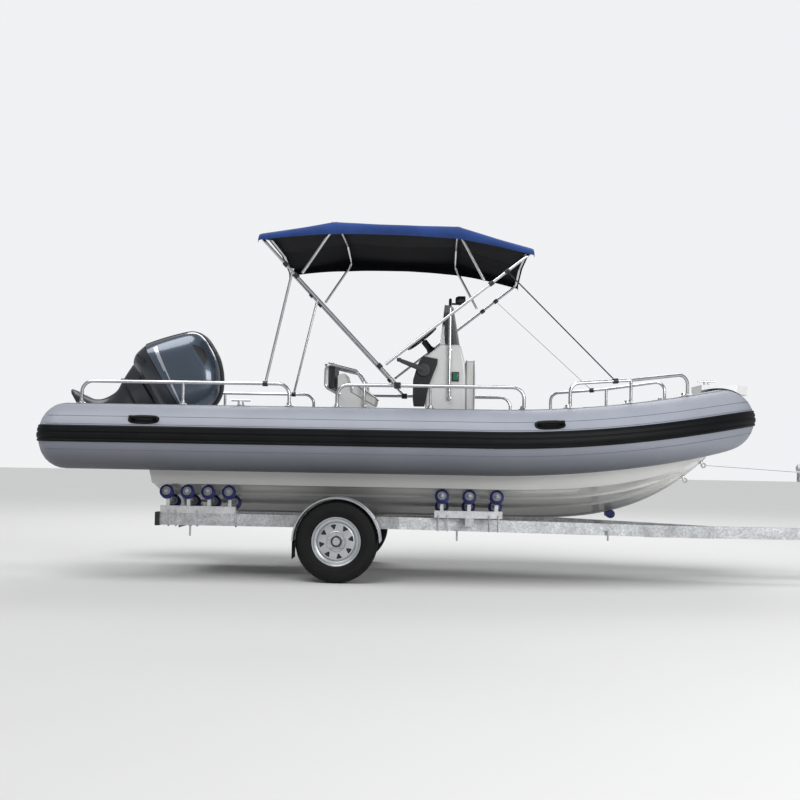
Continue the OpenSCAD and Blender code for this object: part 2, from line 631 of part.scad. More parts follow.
// ---- outboard engine -----------------------------------------------------
// Its own axes are those of the upright engine, with the tilt axis as origin
module tilted() translate([pivot_x, 0, pivot_z]) rotate([0, tilt_deg, 0]) children();
tilt_pin_r = 16;
plate_y = 100;
plate_w = 20;
steer_u = -160;
swivel_r = 45;
shaft_r = 22;
swivel_w = [-290, 75];
module engine_clamp() color([0.2, 0.22, 0.25]) station() difference() {
    aft = function (z, out) rake_x(z) - transom_t - gap - out;
    fore = function (z, out) rake_x(z) + gap + out;
    low = 790;
    inner_low = 985;
    top = transom_top + gap;
    for (side = SIDES) translate([0, side * (plate_y + plate_w / 2), 0])
        rotate([90, 0, 0]) translate([0, 0, -plate_w / 2]) linear_extrude(plate_w) polygon([
            [aft(low, 0), low], [aft(top, 0), top], [fore(top, 0), top],
            [fore(inner_low, 0), inner_low], [fore(inner_low, 35), inner_low],
            [fore(top, 45), top + 20], [pivot_x + 30, pivot_z + 34], [pivot_x - 30, pivot_z + 34],
            [aft(top, 50), top + 10], [aft(low, 45), low]]);
    translate([pivot_x, 0, pivot_z]) rotate([90, 0, 0])
        cylinder(r = tilt_pin_r + pin_gap, h = 300, center = true);
}
module engine_swivel() color([0.3, 0.34, 0.4]) station() tilted() difference() {
    union() {
        rotate([90, 0, 0]) cylinder(r = tilt_pin_r, h = 2 * (plate_y + plate_w) + 10, center = true);
        rotate([90, 0, 0]) cylinder(r = 36, h = 160, center = true);
        rotate([90, 0, 0]) translate([0, 0, -60]) linear_extrude(120) polygon([
            [0, 34], [steer_u, swivel_w[1] - 8], [steer_u, swivel_w[0] + 10],
            [steer_u + 45, swivel_w[0] + 10], [-65, -110], [-30, -30]]);
        translate([steer_u, 0, swivel_w[0]]) cylinder(r = swivel_r, h = swivel_w[1] - swivel_w[0]);
    }
    translate([steer_u, 0, swivel_w[0] - 10])
        cylinder(r = shaft_r + pin_gap, h = swivel_w[1] - swivel_w[0] + 20);
}
// Closed oval in plan between two ends, as points at height w
function oval(u0, u1, half, w, n) = [for (k = [0:n - 1])
    let (c = cos(360 * k / n), s = sin(360 * k / n))
    [(u0 + u1) / 2 + (u1 - u0) / 2 * sign(c) * pow(abs(c), 0.75), half * sign(s) * pow(abs(s), 0.75), w]];
pan_w = [110, 272];
cowl_seam = pan_w[1] + gap;
// Cowl sections: height, after end, forward end, share of the full width
cowl_rings = [[cowl_seam, -862, -92, 1], [400, -840, -92, 1], [540, -804, -112, 0.96], [630, -776, -175, 0.87],
              [700, -738, -285, 0.7], [740, -690, -380, 0.5], [757, -630, -460, 0.25]];
cowl_t = 14;
module engine_cowl() color([0.36, 0.42, 0.5]) station() tilted()
    skin(concat(
        [for (i = [0:len(cowl_rings) - 1]) let (r = cowl_rings[len(cowl_rings) - 1 - i])
            oval(r[1], r[2], r[3] * cowl_w / 2, r[0], 28)],
        [for (i = [0:len(cowl_rings) - 1]) let (r = cowl_rings[i])
            oval(r[1] + cowl_t, r[2] - cowl_t, r[3] * cowl_w / 2 - cowl_t, r[0] - (i == 0 ? 0 : cowl_t), 28)]));
module engine_powerhead() color("dimgray") station() tilted()
    translate([-690, -150, cowl_seam]) cube([450, 300, 300]);
module engine_midsection() color([0.25, 0.28, 0.33]) station() tilted() {
    top_r = swivel_w[1] + 9;
    translate([steer_u, 0, swivel_w[0] - 40]) cylinder(r = shaft_r, h = top_r - swivel_w[0] + 60);
    translate([-330, -35, swivel_w[0] - 45]) cube([195, 70, 35]);
    translate([-330, -60, top_r]) cube([205, 120, pan_w[0] - top_r + 5]);
    translate([0, 0, -495]) linear_extrude(495 + pan_w[0] + 5)
        polygon([for (p = oval(-650, steer_u - swivel_r - 12, 62, 0, 24)) [p[0], p[1]]]);
    skin([oval(-862, -92, cowl_w / 2, pan_w[1], 28),
          oval(-835, -98, cowl_w / 2 - 25, pan_w[0] + 70, 28), oval(-700, -110, 120, pan_w[0], 28)]);
}
prop_u = [-722, -612];
prop_w = -700;
prop_shaft_r = 12;
module engine_gearcase() color([0.25, 0.28, 0.33]) station() tilted() {
    translate([0, 0, -514]) linear_extrude(18) polygon([
        [-876, -30], [-840, -80], [-620, -105], [-420, -70], [-300, -20],
        [-300, 20], [-420, 70], [-620, 105], [-840, 80], [-876, 30]]);
    translate([0, 0, prop_w + 20]) linear_extrude(-514 - prop_w - 19)
        polygon([for (p = oval(-600, -365, 32, 0, 24)) [p[0], p[1]]]);
    translate([-340, 0, prop_w]) rotate([0, -90, 0]) rotate_extrude() polygon([
        [0, 0], [14, 5], [30, 25], [45, 70], [52, 130], [50, 200], [42, 265], [0, 265]]);
    translate([prop_u[0] - 10, 0, prop_w]) rotate([0, 90, 0])
        cylinder(r = prop_shaft_r, h = prop_u[1] - prop_u[0] + 30);
    rotate([90, 0, 0]) translate([0, 0, -6]) linear_extrude(12)
        polygon([[-395, prop_w - 30], [skeg_u + 50, -leg_l], [skeg_u, -leg_l], [-590, prop_w - 30]]);
}
module propeller() color([0.15, 0.15, 0.16]) station() tilted()
    translate([prop_u[0], 0, prop_w]) rotate([0, 90, 0]) difference() {
        union() {
            cylinder(r1 = 32, r2 = 42, h = prop_u[1] - prop_u[0]);
            for (k = [0:2]) rotate([0, 0, 120 * k + 180]) translate([30, 0, 52])
                rotate([28, 0, 0]) translate([0, 0, -3]) linear_extrude(6)
                    polygon([for (a = [0:15:345])
                        [(prop_r - 30) / 2 * (1 + cos(a)), 52 * sin(a) * (1 + 0.3 * cos(a))]]);
        }
        translate([0, 0, -10]) cylinder(r = prop_shaft_r + pin_gap, h = 200);
    }

// ---- trailer -------------------------------------------------------------
beam_aft_x = 930;
knee_x = 2900;
meet_x = 5600;
meet_y = 62;
bar_w = 80;            // width of the drawbar
bar_z = [350, 450];    // underside and top of the drawbar
beam_mid_z = beam_z + beam_h / 2;
function leg_y(x) = mix(beam_y, meet_y, (x - knee_x) / (meet_x - knee_x));
function leg_z(x) = mix(beam_mid_z, (bar_z[0] + bar_z[1]) / 2, (x - knee_x) / (meet_x - knee_x));
leg_half = beam_w / 2 / cos(atan((beam_y - meet_y) / (meet_x - knee_x)));
module side_beams() color("darkgray") station() difference() {
    for (side = SIDES) {
        translate([beam_aft_x, side * beam_y - beam_w / 2, beam_z]) cube([knee_x - beam_aft_x + 8, beam_w, beam_h]);
        band([knee_x, side * beam_y, beam_mid_z], [meet_x, side * meet_y, leg_z(meet_x)], beam_w, beam_h);
    }
    block(5100, 7000, bar_w + 2 * gap, bar_z[0] - 50, bar_z[1] + 50);
}
member_x = [1000, 2240];
member_h = 60;
member_z = 430;
tie_x = [4620, 4960];
module tie(x) {
    z = leg_z(x) - 30;
    translate([0, 0, z]) linear_extrude(50) polygon([
        for (c = [[x, -1], [x + 60, -1], [x + 60, 1], [x, 1]]) [c[0], c[1] * (leg_y(c[0]) - leg_half - gap)]]);
}
outrigger_x = 3445;
module cross_members() color("darkgray") station() {
    for (x = member_x) block(x, x + 60, 2 * (beam_y - beam_w / 2 - gap), member_z, member_z + member_h);
    for (x = tie_x) tie(x);
    for (side = SIDES) translate([0, 0, beam_z + 35]) linear_extrude(beam_h - 35 - gap) polygon([
        for (c = [[outrigger_x, 0], [outrigger_x + 70, 0]])
            [c[0], side * (leg_y(c[0]) + leg_half + gap)],
        [outrigger_x + 70, side * (beam_y + beam_w / 2)], [outrigger_x, side * (beam_y + beam_w / 2)]]);
}

jockey_y = 115;
sleeve_z = [372, 560];
leg_r = 24;
module drawbar() color("darkgray") station() difference() {
    union() {
        block(tie_x[1] + 60 + gap, 6980, bar_w, bar_z[0], bar_z[1]);
        translate([jockey_x - 30, 0, 372]) cube([60, jockey_y, 56]);
        translate([jockey_x, jockey_y, sleeve_z[0]]) cylinder(r = leg_r + 6, h = sleeve_z[1] - sleeve_z[0]);
    }
    translate([jockey_x, jockey_y, 300]) cylinder(r = leg_r + pin_gap, h = 400);
}

stub_r = 20;
hub_y = track_y - 70;
module axle() color("darkgray") station() {
    block(axle_x - 130, axle_x - 75, 2 * (beam_y + 60), beam_z - gap - 56, beam_z - gap);
    for (side = SIDES) {
        rotate([90, 0, 0]) translate([0, 0, -side * (beam_y + 70) - 12]) linear_extrude(24) polygon([
            [axle_x - 132, beam_z - gap], [axle_x - 72, beam_z - gap], [axle_x + 32, tyre_r + 28],
            [axle_x + 32, tyre_r - 30], [axle_x - 20, tyre_r - 34], [axle_x - 132, beam_z - 60]]);
        translate([axle_x, 0, tyre_r]) rotate([-side * 90, 0, 0]) {
            translate([0, 0, beam_y + 60]) cylinder(r = 32, h = hub_y - beam_y - 60 - 6);
            translate([0, 0, beam_y + 60]) cylinder(r = stub_r, h = track_y + 10 - beam_y - 60);
        }
    }
}

rim_r = 196;
rim_w = 150;
module wheel_place(side) translate([axle_x, side * track_y, tyre_r]) rotate([-side * 90, 0, 0]) children();
module tyre(side) color([0.1, 0.1, 0.1]) station() wheel_place(side) rotate_extrude($fn = 96) polygon([
    [rim_r + gap, -rim_w / 2], [rim_r + 34, -tyre_w / 2], [tyre_r - 50, -tyre_w / 2],
    [tyre_r - 12, -tyre_w / 2 + 14], [tyre_r, -tyre_w / 2 + 34], [tyre_r, tyre_w / 2 - 34],
    [tyre_r - 12, tyre_w / 2 - 14], [tyre_r - 50, tyre_w / 2], [rim_r + 34, tyre_w / 2],
    [rim_r + gap, rim_w / 2]]);
module rim(side) color("gainsboro") station() wheel_place(side) difference() {
    union() {
        rotate_extrude($fn = 96) polygon([
            [rim_r - 10, -rim_w / 2], [rim_r, -rim_w / 2], [rim_r, rim_w / 2], [rim_r - 10, rim_w / 2],
            [rim_r - 14, 45], [rim_r - 14, -45]]);
        rotate_extrude($fn = 96) polygon([
            [0, 10], [rim_r - 12, 24], [rim_r - 12, 32], [100, 46], [80, 46], [70, 20], [0, 18]]);
        translate([0, 0, -70]) cylinder(r = 38, h = 100);
    }
    for (k = [0:7]) rotate([0, 0, 45 * k]) translate([140, -20, 0]) cube([32, 40, 80]);
    translate([0, 0, -80]) cylinder(r = stub_r + pin_gap, h = 200);
}
module tyre_starboard() tyre(-1);
module rim_starboard() rim(-1);
module tyre_port() tyre(1);
module rim_port() rim(1);

guard_r = tyre_r + 14;
guard_t = 6;
guard_w = tyre_w + 30;
module mudguards() color("gainsboro") station() for (side = SIDES)
    translate([axle_x, side * track_y, tyre_r]) {
        rotate([90, 0, 0]) translate([0, 0, -guard_w / 2]) rotate_extrude(angle = 180)
            translate([guard_r, 0]) square([guard_t, guard_w]);
        for (a = [30, 150]) rotate([0, -a, 0])
            translate([guard_r + guard_t + 2, 0, 0]) rotate([side * 90, 0, 0])
                translate([0, 0, -10]) cylinder(r = 8, h = track_y - beam_y - beam_w / 2 - gap + 10);
    }
module mud_flaps() color([0.1, 0.1, 0.1]) station() for (side = SIDES)
    translate([axle_x - guard_r - guard_t, side * track_y - guard_w / 2 + 5, tyre_r - gap - 140])
        cube([guard_t, guard_w - 10, 140]);

// Cradles: rollers lie against the hull's bottom, in its own slope
dead_rise = atan((chine_z - keel_z) / (chine_f * (tube_y - seat_r / 2)));
module under_hull(x, side) translate([x, 0, keel_z]) mirror([0, side < 0 ? 1 : 0, 0])
    rotate([dead_rise, 0, 0]) children();
rear_rollers = [for (i = [0:3]) 994 + 171 * i];
front_rollers = [for (i = [0:2]) 3253 + 223 * i];
roller_y = [470, 765];
roller_w = 56;
roller_r = roller_d / 2;
shaft_z = -roller_r - gap - 0.7;
module roller_shaft(x, side) {
    under_hull(x, side) translate([0, roller_y[0] - 38, shaft_z]) rotate([-90, 0, 0])
        cylinder(r = 12, h = roller_y[1] - roller_y[0] + 76);
    low = beam_z + beam_h + 30;
    high = keel_z + (beam_y - 10) * tan(dead_rise) + shaft_z / cos(dead_rise);
    translate([x - 14, side * beam_y - 20, low]) cube([28, 40, high - low]);
}
module roller_cradles() color("darkgray") station() for (side = SIDES) {
    for (run = [rear_rollers, front_rollers]) {
        translate([run[0] - 60, side * beam_y - 25, beam_z + beam_h + gap])
            cube([run[len(run) - 1] - run[0] + 110, 50, 58]);
        for (x = run) roller_shaft(x, side);
    }
}
module hull_rollers() color("royalblue") station()
    for (x = concat(rear_rollers, front_rollers), side = SIDES, y = roller_y)
        under_hull(x, side) translate([0, y - roller_w / 2, shaft_z]) rotate([-90, 0, 0])
            difference() {
                cylinder(r = roller_r, h = roller_w);
                translate([0, 0, -1]) cylinder(r = 12 + pin_gap, h = roller_w + 2);
            }

keel_roller_r = 37;
keel_contact_x = [1105, 4715]; // where the keel rests on each keel roller
module keel_rollers() color("royalblue") station() for (i = [0, 1]) {
    centre = eye_point(keel_contact_x[i], keel_roller_r + (i == 0 ? gap : -1.7));
    back = (i == 0 ? member_x[0] : tie_x[0]) + 60 + gap;
    translate(centre) rotate([90, 0, 0]) {
        cylinder(r = keel_roller_r, h = 80, center = true);
        cylinder(r = 8, h = 124, center = true);
    }
    for (side = SIDES) translate([back, side * 54 - 4, centre[2] - 20])
        cube([centre[0] + 16 - back, 8, 36]);
}
module tail_lights() color([0.5, 0.05, 0.05]) station() {
    for (side = SIDES) translate([beam_aft_x - gap - 36, side * beam_y - 45, beam_z - 5]) cube([36, 90, 110]);
    block(member_x[0] - gap - 8, member_x[0] - gap, 520, member_z - 60, member_z + 52);
}

post_x = [6450, 6510];
post_top = 965;
winch_x = 6392;
winch_z = 900;
drum_r = 30;
module winch_post() color("darkgray") station() {
    block(post_x[0], post_x[1], 60, bar_z[1] + gap, post_top);
    block(post_x[0] - 40, post_x[1] + 40, bar_w, bar_z[1] + gap, bar_z[1] + 12);
    block(post_x[0] - 20, post_x[0] + 2, 260, post_top - 30, post_top + 10);
    for (side = SIDES) translate([post_x[0] - 20, side * 100, post_top - 10]) rotate([side * -25, 0, 0])
        translate([-60, -35, 0]) cube([70, 70, 40]);
}
module winch() color("silver") station() {
    for (side = SIDES) translate([winch_x - 42, side * 45 - 3, winch_z - 50])
        cube([post_x[0] - gap - winch_x + 42, 6, 80]);
    translate([winch_x, 0, winch_z]) rotate([90, 0, 0]) {
        cylinder(r = drum_r, h = 80, center = true);
        cylinder(r = 9, h = 150, center = true);
    }
    translate([winch_x, -72, winch_z]) rotate([0, 150, 0]) {
        translate([-9, -8, -10]) cube([18, 8, 180]);
        translate([0, 0, 160]) rotate([90, 0, 0]) cylinder(r = 13, h = 90);
    }
}
module winch_strap() color("navy") station() {
    eye = eye_point(upper_eye_x, eye_out);
    low = [winch_x, 0, winch_z + drum_r + 2];
    band(eye + [26, 0, 0] , low, 48, 3);
}
module coupling() color("silver") station() difference() {
    head_r = 34;
    union() {
        block(6980 + gap, nose_x - head_r, 60, 376, 440);
        translate([nose_x - head_r, 0, 352]) cylinder(r = head_r, h = 84);
        translate([nose_x - 150, -12, 430]) rotate([0, -12, 0]) cube([130, 24, 14]);
    }
    translate([nose_x - head_r, 0, 340]) cylinder(r = socket_r, h = 55);
}

fork_top = [208, 218];
trail = 40;
fork_pin_r = 12;
jockey_w = 55;
module jockey_place() translate([jockey_x, jockey_y, 0]) children();
module jockey_leg() color("silver") station() jockey_place() difference() {
    union() {
        translate([0, 0, fork_top[1] + 6]) cylinder(r = leg_r, h = 646 - fork_top[1]);
        translate([0, 0, 650]) cylinder(r = 31, h = 16);
        translate([0, -9, 660]) cube([120, 18, 10]);
        translate([108, 0, 660]) cylinder(r = 12, h = 80);
    }
    translate([0, 0, 100]) cylinder(r = fork_pin_r + pin_gap, h = 170);
}
module jockey_fork() color("darkgray") station() jockey_place() {
    translate([0, 0, fork_top[0]]) cylinder(r = fork_pin_r, h = 46);
    translate([0, 0, fork_top[0]]) cylinder(r = 44, h = fork_top[1] - fork_top[0]);
    for (side = SIDES) rotate([90, 0, 0]) translate([0, 0, side * 39 - 4]) linear_extrude(8) polygon([
        [-22, fork_top[0] + 1], [-trail - 20, jockey_r - 16], [-trail + 20, jockey_r - 16], [22, fork_top[0] + 1]]);
    translate([-trail, 0, jockey_r]) rotate([90, 0, 0]) cylinder(r = 8, h = 90, center = true);
}
module jockey_wheel() color([0.12, 0.12, 0.12]) station() jockey_place()
    translate([-trail, 0, jockey_r]) rotate([90, 0, 0]) difference() {
        rotate_extrude() polygon([[0, -jockey_w / 2], [jockey_r - 14, -jockey_w / 2], [jockey_r, -jockey_w / 2 + 12],
            [jockey_r, jockey_w / 2 - 12], [jockey_r - 14, jockey_w / 2], [0, jockey_w / 2]]);
        cylinder(r = 8 + pin_gap, h = 100, center = true);
    }

boat_hull();
deck();
transom();
collar();
rub_strake();
tube_handles();
bow_plate();
mooring_cleats();
bow_eyes();
bow_locker();
bow_locker_lid();
stern_rails();
midship_rails();
bow_rails();
console();
windscreen();
console_rail();
searchlight();
nav_lights();
helm_controls();
steering_wheel();
console_seat();
helm_seat();
helm_seat_cushion();
helm_seat_frame();
helm_backrest();
canopy_main_bows();
canopy_secondary_bows();
canopy_poles();
canopy_fittings();
canopy_sheet();
canopy_straps();
engine_clamp();
engine_swivel();
engine_cowl();
engine_powerhead();
engine_midsection();
engine_gearcase();
propeller();
side_beams();
cross_members();
drawbar();
axle();
tyre_starboard();
rim_starboard();
tyre_port();
rim_port();
mudguards();
mud_flaps();
roller_cradles();
hull_rollers();
keel_rollers();
tail_lights();
winch_post();
winch();
winch_strap();
coupling();
jockey_leg();
jockey_fork();
jockey_wheel();
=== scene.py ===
"""Rigid inflatable boat on its road trailer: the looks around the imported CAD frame.

Stations X are metres forward from the stern ends of the tubes, as in the part's source;
at() turns a station point into the frame's own axes.
"""

import math

import bmesh
import bpy
from mathutils import Matrix, Vector, noise


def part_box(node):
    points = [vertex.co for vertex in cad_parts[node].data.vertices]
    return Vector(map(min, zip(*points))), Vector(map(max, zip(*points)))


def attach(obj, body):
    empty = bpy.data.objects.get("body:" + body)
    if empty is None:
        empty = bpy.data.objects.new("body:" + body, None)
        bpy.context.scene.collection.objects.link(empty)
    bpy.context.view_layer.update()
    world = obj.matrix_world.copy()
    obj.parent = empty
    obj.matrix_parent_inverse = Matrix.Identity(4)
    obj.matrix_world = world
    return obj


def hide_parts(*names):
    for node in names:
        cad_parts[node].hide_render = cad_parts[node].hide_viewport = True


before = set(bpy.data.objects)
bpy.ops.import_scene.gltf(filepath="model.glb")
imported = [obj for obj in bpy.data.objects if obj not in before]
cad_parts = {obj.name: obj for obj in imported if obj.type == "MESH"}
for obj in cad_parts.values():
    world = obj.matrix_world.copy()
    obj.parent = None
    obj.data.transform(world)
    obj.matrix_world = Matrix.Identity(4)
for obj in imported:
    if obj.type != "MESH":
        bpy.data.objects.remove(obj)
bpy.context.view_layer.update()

# ---- driving sizes, in metres ------------------------------------------------
NOSE_X = 7.150                      # station of the coupling's nose
MID_X = NOSE_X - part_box("coupling")[1][0]
TUBE_R = 0.265
TUBE_Y = 0.935
TUBE_Z = 1.139
STRAIGHT_L = 3.400
BOW_L = 2.280
BOW_POWER = 0.9
SHEER_START = 3.600
SHEER_RISE = 0.240
CAP_L = 0.215
TIP_X = STRAIGHT_L + BOW_L
STRAKE_T = 0.012
KEEL_Z = 0.505
CHINE_Z = 0.765
DECK_Z = 0.934
DECK_TOP = 0.959
HULL_AFT_X = 1.010
TRANSOM_RAKE = math.radians(14)
KEEL_START = 3.800
STEM_X = TIP_X - 0.095
STEM_RISE = 0.575
RAIL_R = 0.014
RAIL_Z = 1.585
BOW_TUBE_R = 0.012                  # canopy bows
LEG_Y = 0.968
CANOPY_Z = 2.945
SHOULDER_DROP = 0.085
CROWN_Y = 0.430
CONSOLE_Y = 0.350
CONSOLE_TOP = 1.975
TILT = math.radians(58)
PIVOT = (0.850, 1.078)              # tilt axis: station and height
AXLE_X = 2.415
TRACK_Y = 0.910
TYRE_R = 0.330
RIM_R = 0.196
SIDES = (-1, 1)
ROOT = "boat_and_trailer"


# ---- small helpers -----------------------------------------------------------
def at(x, y, z):
    """A station point in the frame's axes."""
    return Vector((x - MID_X, y, z))


def mix(a, b, k):
    return a + (b - a) * k


def smoothstep(k):
    k = min(1.0, max(0.0, k))
    return k * k * (3 - 2 * k)


def engine_point(u, v, w):
    """A point given in the upright engine's own axes: u forward, v to port, w up from the tilt axis."""
    return at(PIVOT[0] + u * math.cos(TILT) + w * math.sin(TILT), v,
              PIVOT[1] - u * math.sin(TILT) + w * math.cos(TILT))


def finish_piece(obj, mat, body, replaces=(), angle=35):
    """Gives a new piece its material, shading and body, and hides the parts it replaces."""
    mats = mat if isinstance(mat, (list, tuple)) else [mat]
    for m in mats:
        obj.data.materials.append(m)
    if obj.type == "MESH":
        obj.data.polygons.foreach_set("use_smooth", [True] * len(obj.data.polygons))
        if angle:
            obj.data.set_sharp_from_angle(angle=math.radians(angle))
    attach(obj, body)
    if replaces:
        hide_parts(*replaces)
    return obj


def mesh_object(name, verts, faces):
    mesh = bpy.data.meshes.new(name)
    mesh.from_pydata([tuple(v) for v in verts], [], faces)
    work = bmesh.new()
    work.from_mesh(mesh)
    bmesh.ops.remove_doubles(work, verts=work.verts, dist=1e-6)
    bmesh.ops.recalc_face_normals(work, faces=work.faces)
    work.to_mesh(mesh)
    work.free()
    obj = bpy.data.objects.new(name, mesh)
    bpy.context.collection.objects.link(obj)
    return obj


def ring_faces(n, m, closed=True, caps=True):
    """Faces of a skin through n rings of m points."""
    last = m if closed else m - 1
    faces = [(i * m + j, i * m + (j + 1) % m, (i + 1) * m + (j + 1) % m, (i + 1) * m + j)
             for i in range(n - 1) for j in range(last)]
    if caps:
        faces.append(tuple(reversed(range(m))))
        faces.append(tuple((n - 1) * m + j for j in range(m)))
    return faces


def ring_close(n, m):
    """Faces that join the last ring of a turned profile to its first."""
    return [((n - 1) * m + j, (n - 1) * m + (j + 1) % m, (j + 1) % m, j) for j in range(m)]


def loft(name, rings, mat, body, replaces=(), angle=35):
    """One piece from a skin through closed rings, capped at both ends."""
    verts = [p for r in rings for p in r]
    obj = mesh_object(name, verts, ring_faces(len(rings), len(rings[0])))
    return finish_piece(obj, mat, body, replaces, angle)


def joined(name, parts, mat, body, replaces=(), angle=35):
    """One piece from several (vertices, faces) parts."""
    verts, faces = [], []
    for v, f in parts:
        base = len(verts)
        verts.extend(v)
        faces.extend(tuple(base + i for i in face) for face in f)
    return finish_piece(mesh_object(name, verts, faces), mat, body, replaces, angle)


def modify(obj, kind, **values):
    mod = obj.modifiers.new(kind.lower(), kind)
    for key, value in values.items():
        setattr(mod, key, value)


def revolve_part(profile, origin, axis, steps=32):
    """(vertices, faces) of a solid turned from [distance along axis, radius] pairs, capped at both ends."""
    axis = Vector(axis).normalized()
    ref = Vector((0, 0, 1)) if abs(axis.z) < 0.9 else Vector((1, 0, 0))
    ex = (ref - ref.dot(axis) * axis).normalized()
    ey = axis.cross(ex)
    verts = [Vector(origin) + d * axis + r * (math.cos(a) * ex + math.sin(a) * ey)
             for d, r in profile
             for a in (math.tau * k / steps for k in range(steps))]
    return verts, ring_faces(len(profile), steps)


def turned(profile, origin, axis, steps):
    """(vertices, faces) of a ring turned from a profile that closes on itself."""
    verts, faces = revolve_part(profile, origin, axis, steps)
    return verts, faces[:-2] + ring_close(len(profile), steps)


def box_part(x0, x1, y0, y1, z0, z1):
    v = [at(x, y, z) for x in (x0, x1) for y in (y0, y1) for z in (z0, z1)]
    return v, [(0, 1, 3, 2), (4, 6, 7, 5), (0, 4, 5, 1), (2, 3, 7, 6), (0, 2, 6, 4), (1, 5, 7, 3)]


def rounded_path(points, bend, steps=8):
    """The polyline with its corners bent to a radius."""
    p = [Vector(q) for q in points]
    out = [p[0]]
    for i in range(1, len(p) - 1):
        a, b = (p[i] - p[i - 1]).normalized(), (p[i + 1] - p[i]).normalized()
        turn = a.angle(b)
        if turn < 1e-3:
            out.append(p[i])
            continue
        centre = p[i] + (b - a).normalized() * bend / math.cos(turn / 2)
        ex = (p[i] - bend * math.tan(turn / 2) * a - centre).normalized()
        ey = a.cross(b).normalized().cross(ex)
        out.extend(centre + bend * (math.cos(f) * ex + math.sin(f) * ey)
                   for f in (turn * s / steps for s in range(steps + 1)))
    out.append(p[-1])
    return out


def tube_part(points, r, bend=0.05, sides=20):
    """(vertices, faces) of a bent round tube."""
    path = rounded_path(points, bend) if len(points) > 2 else [Vector(q) for q in points]
    dirs = [(path[min(i + 1, len(path) - 1)] - path[max(i - 1, 0)]).normalized() for i in range(len(path))]
    n = dirs[0].orthogonal().normalized()
    verts = []
    for p, t in zip(path, dirs):
        n = (n - n.dot(t) * t).normalized()
        b = t.cross(n)
        verts.extend(p + r * (math.cos(a) * n + math.sin(a) * b)
                     for a in (math.tau * k / sides for k in range(sides)))
    return verts, ring_faces(len(path), sides)


def prism_part(outline, y0, y1):
    """(vertices, faces) of a station outline [x, z] drawn out from y0 to y1."""
    verts = [at(x, y, z) for y in (y0, y1) for x, z in outline]
    return verts, ring_faces(2, len(outline))


# ---- materials ---------------------------------------------------------------
def node_in(tree, kind, **inputs):
    node = tree.nodes.new(kind)
    for key, value in inputs.items():
        node.inputs[key].default_value = value
    return node


def ramp(tree, source, stops):
    node = tree.nodes.new("ShaderNodeValToRGB")
    node.color_ramp.elements[0].position, node.color_ramp.elements[0].color = stops[0]
    node.color_ramp.elements[1].position, node.color_ramp.elements[1].color = stops[-1]
    for pos, col in stops[1:-1]:
        node.color_ramp.elements.new(pos).color = col
    tree.links.new(source, node.inputs["Fac"])
    return node


def rgba(c, k=1.0):
    return (*(min(1.0, v * k) for v in c[:3]), 1.0)


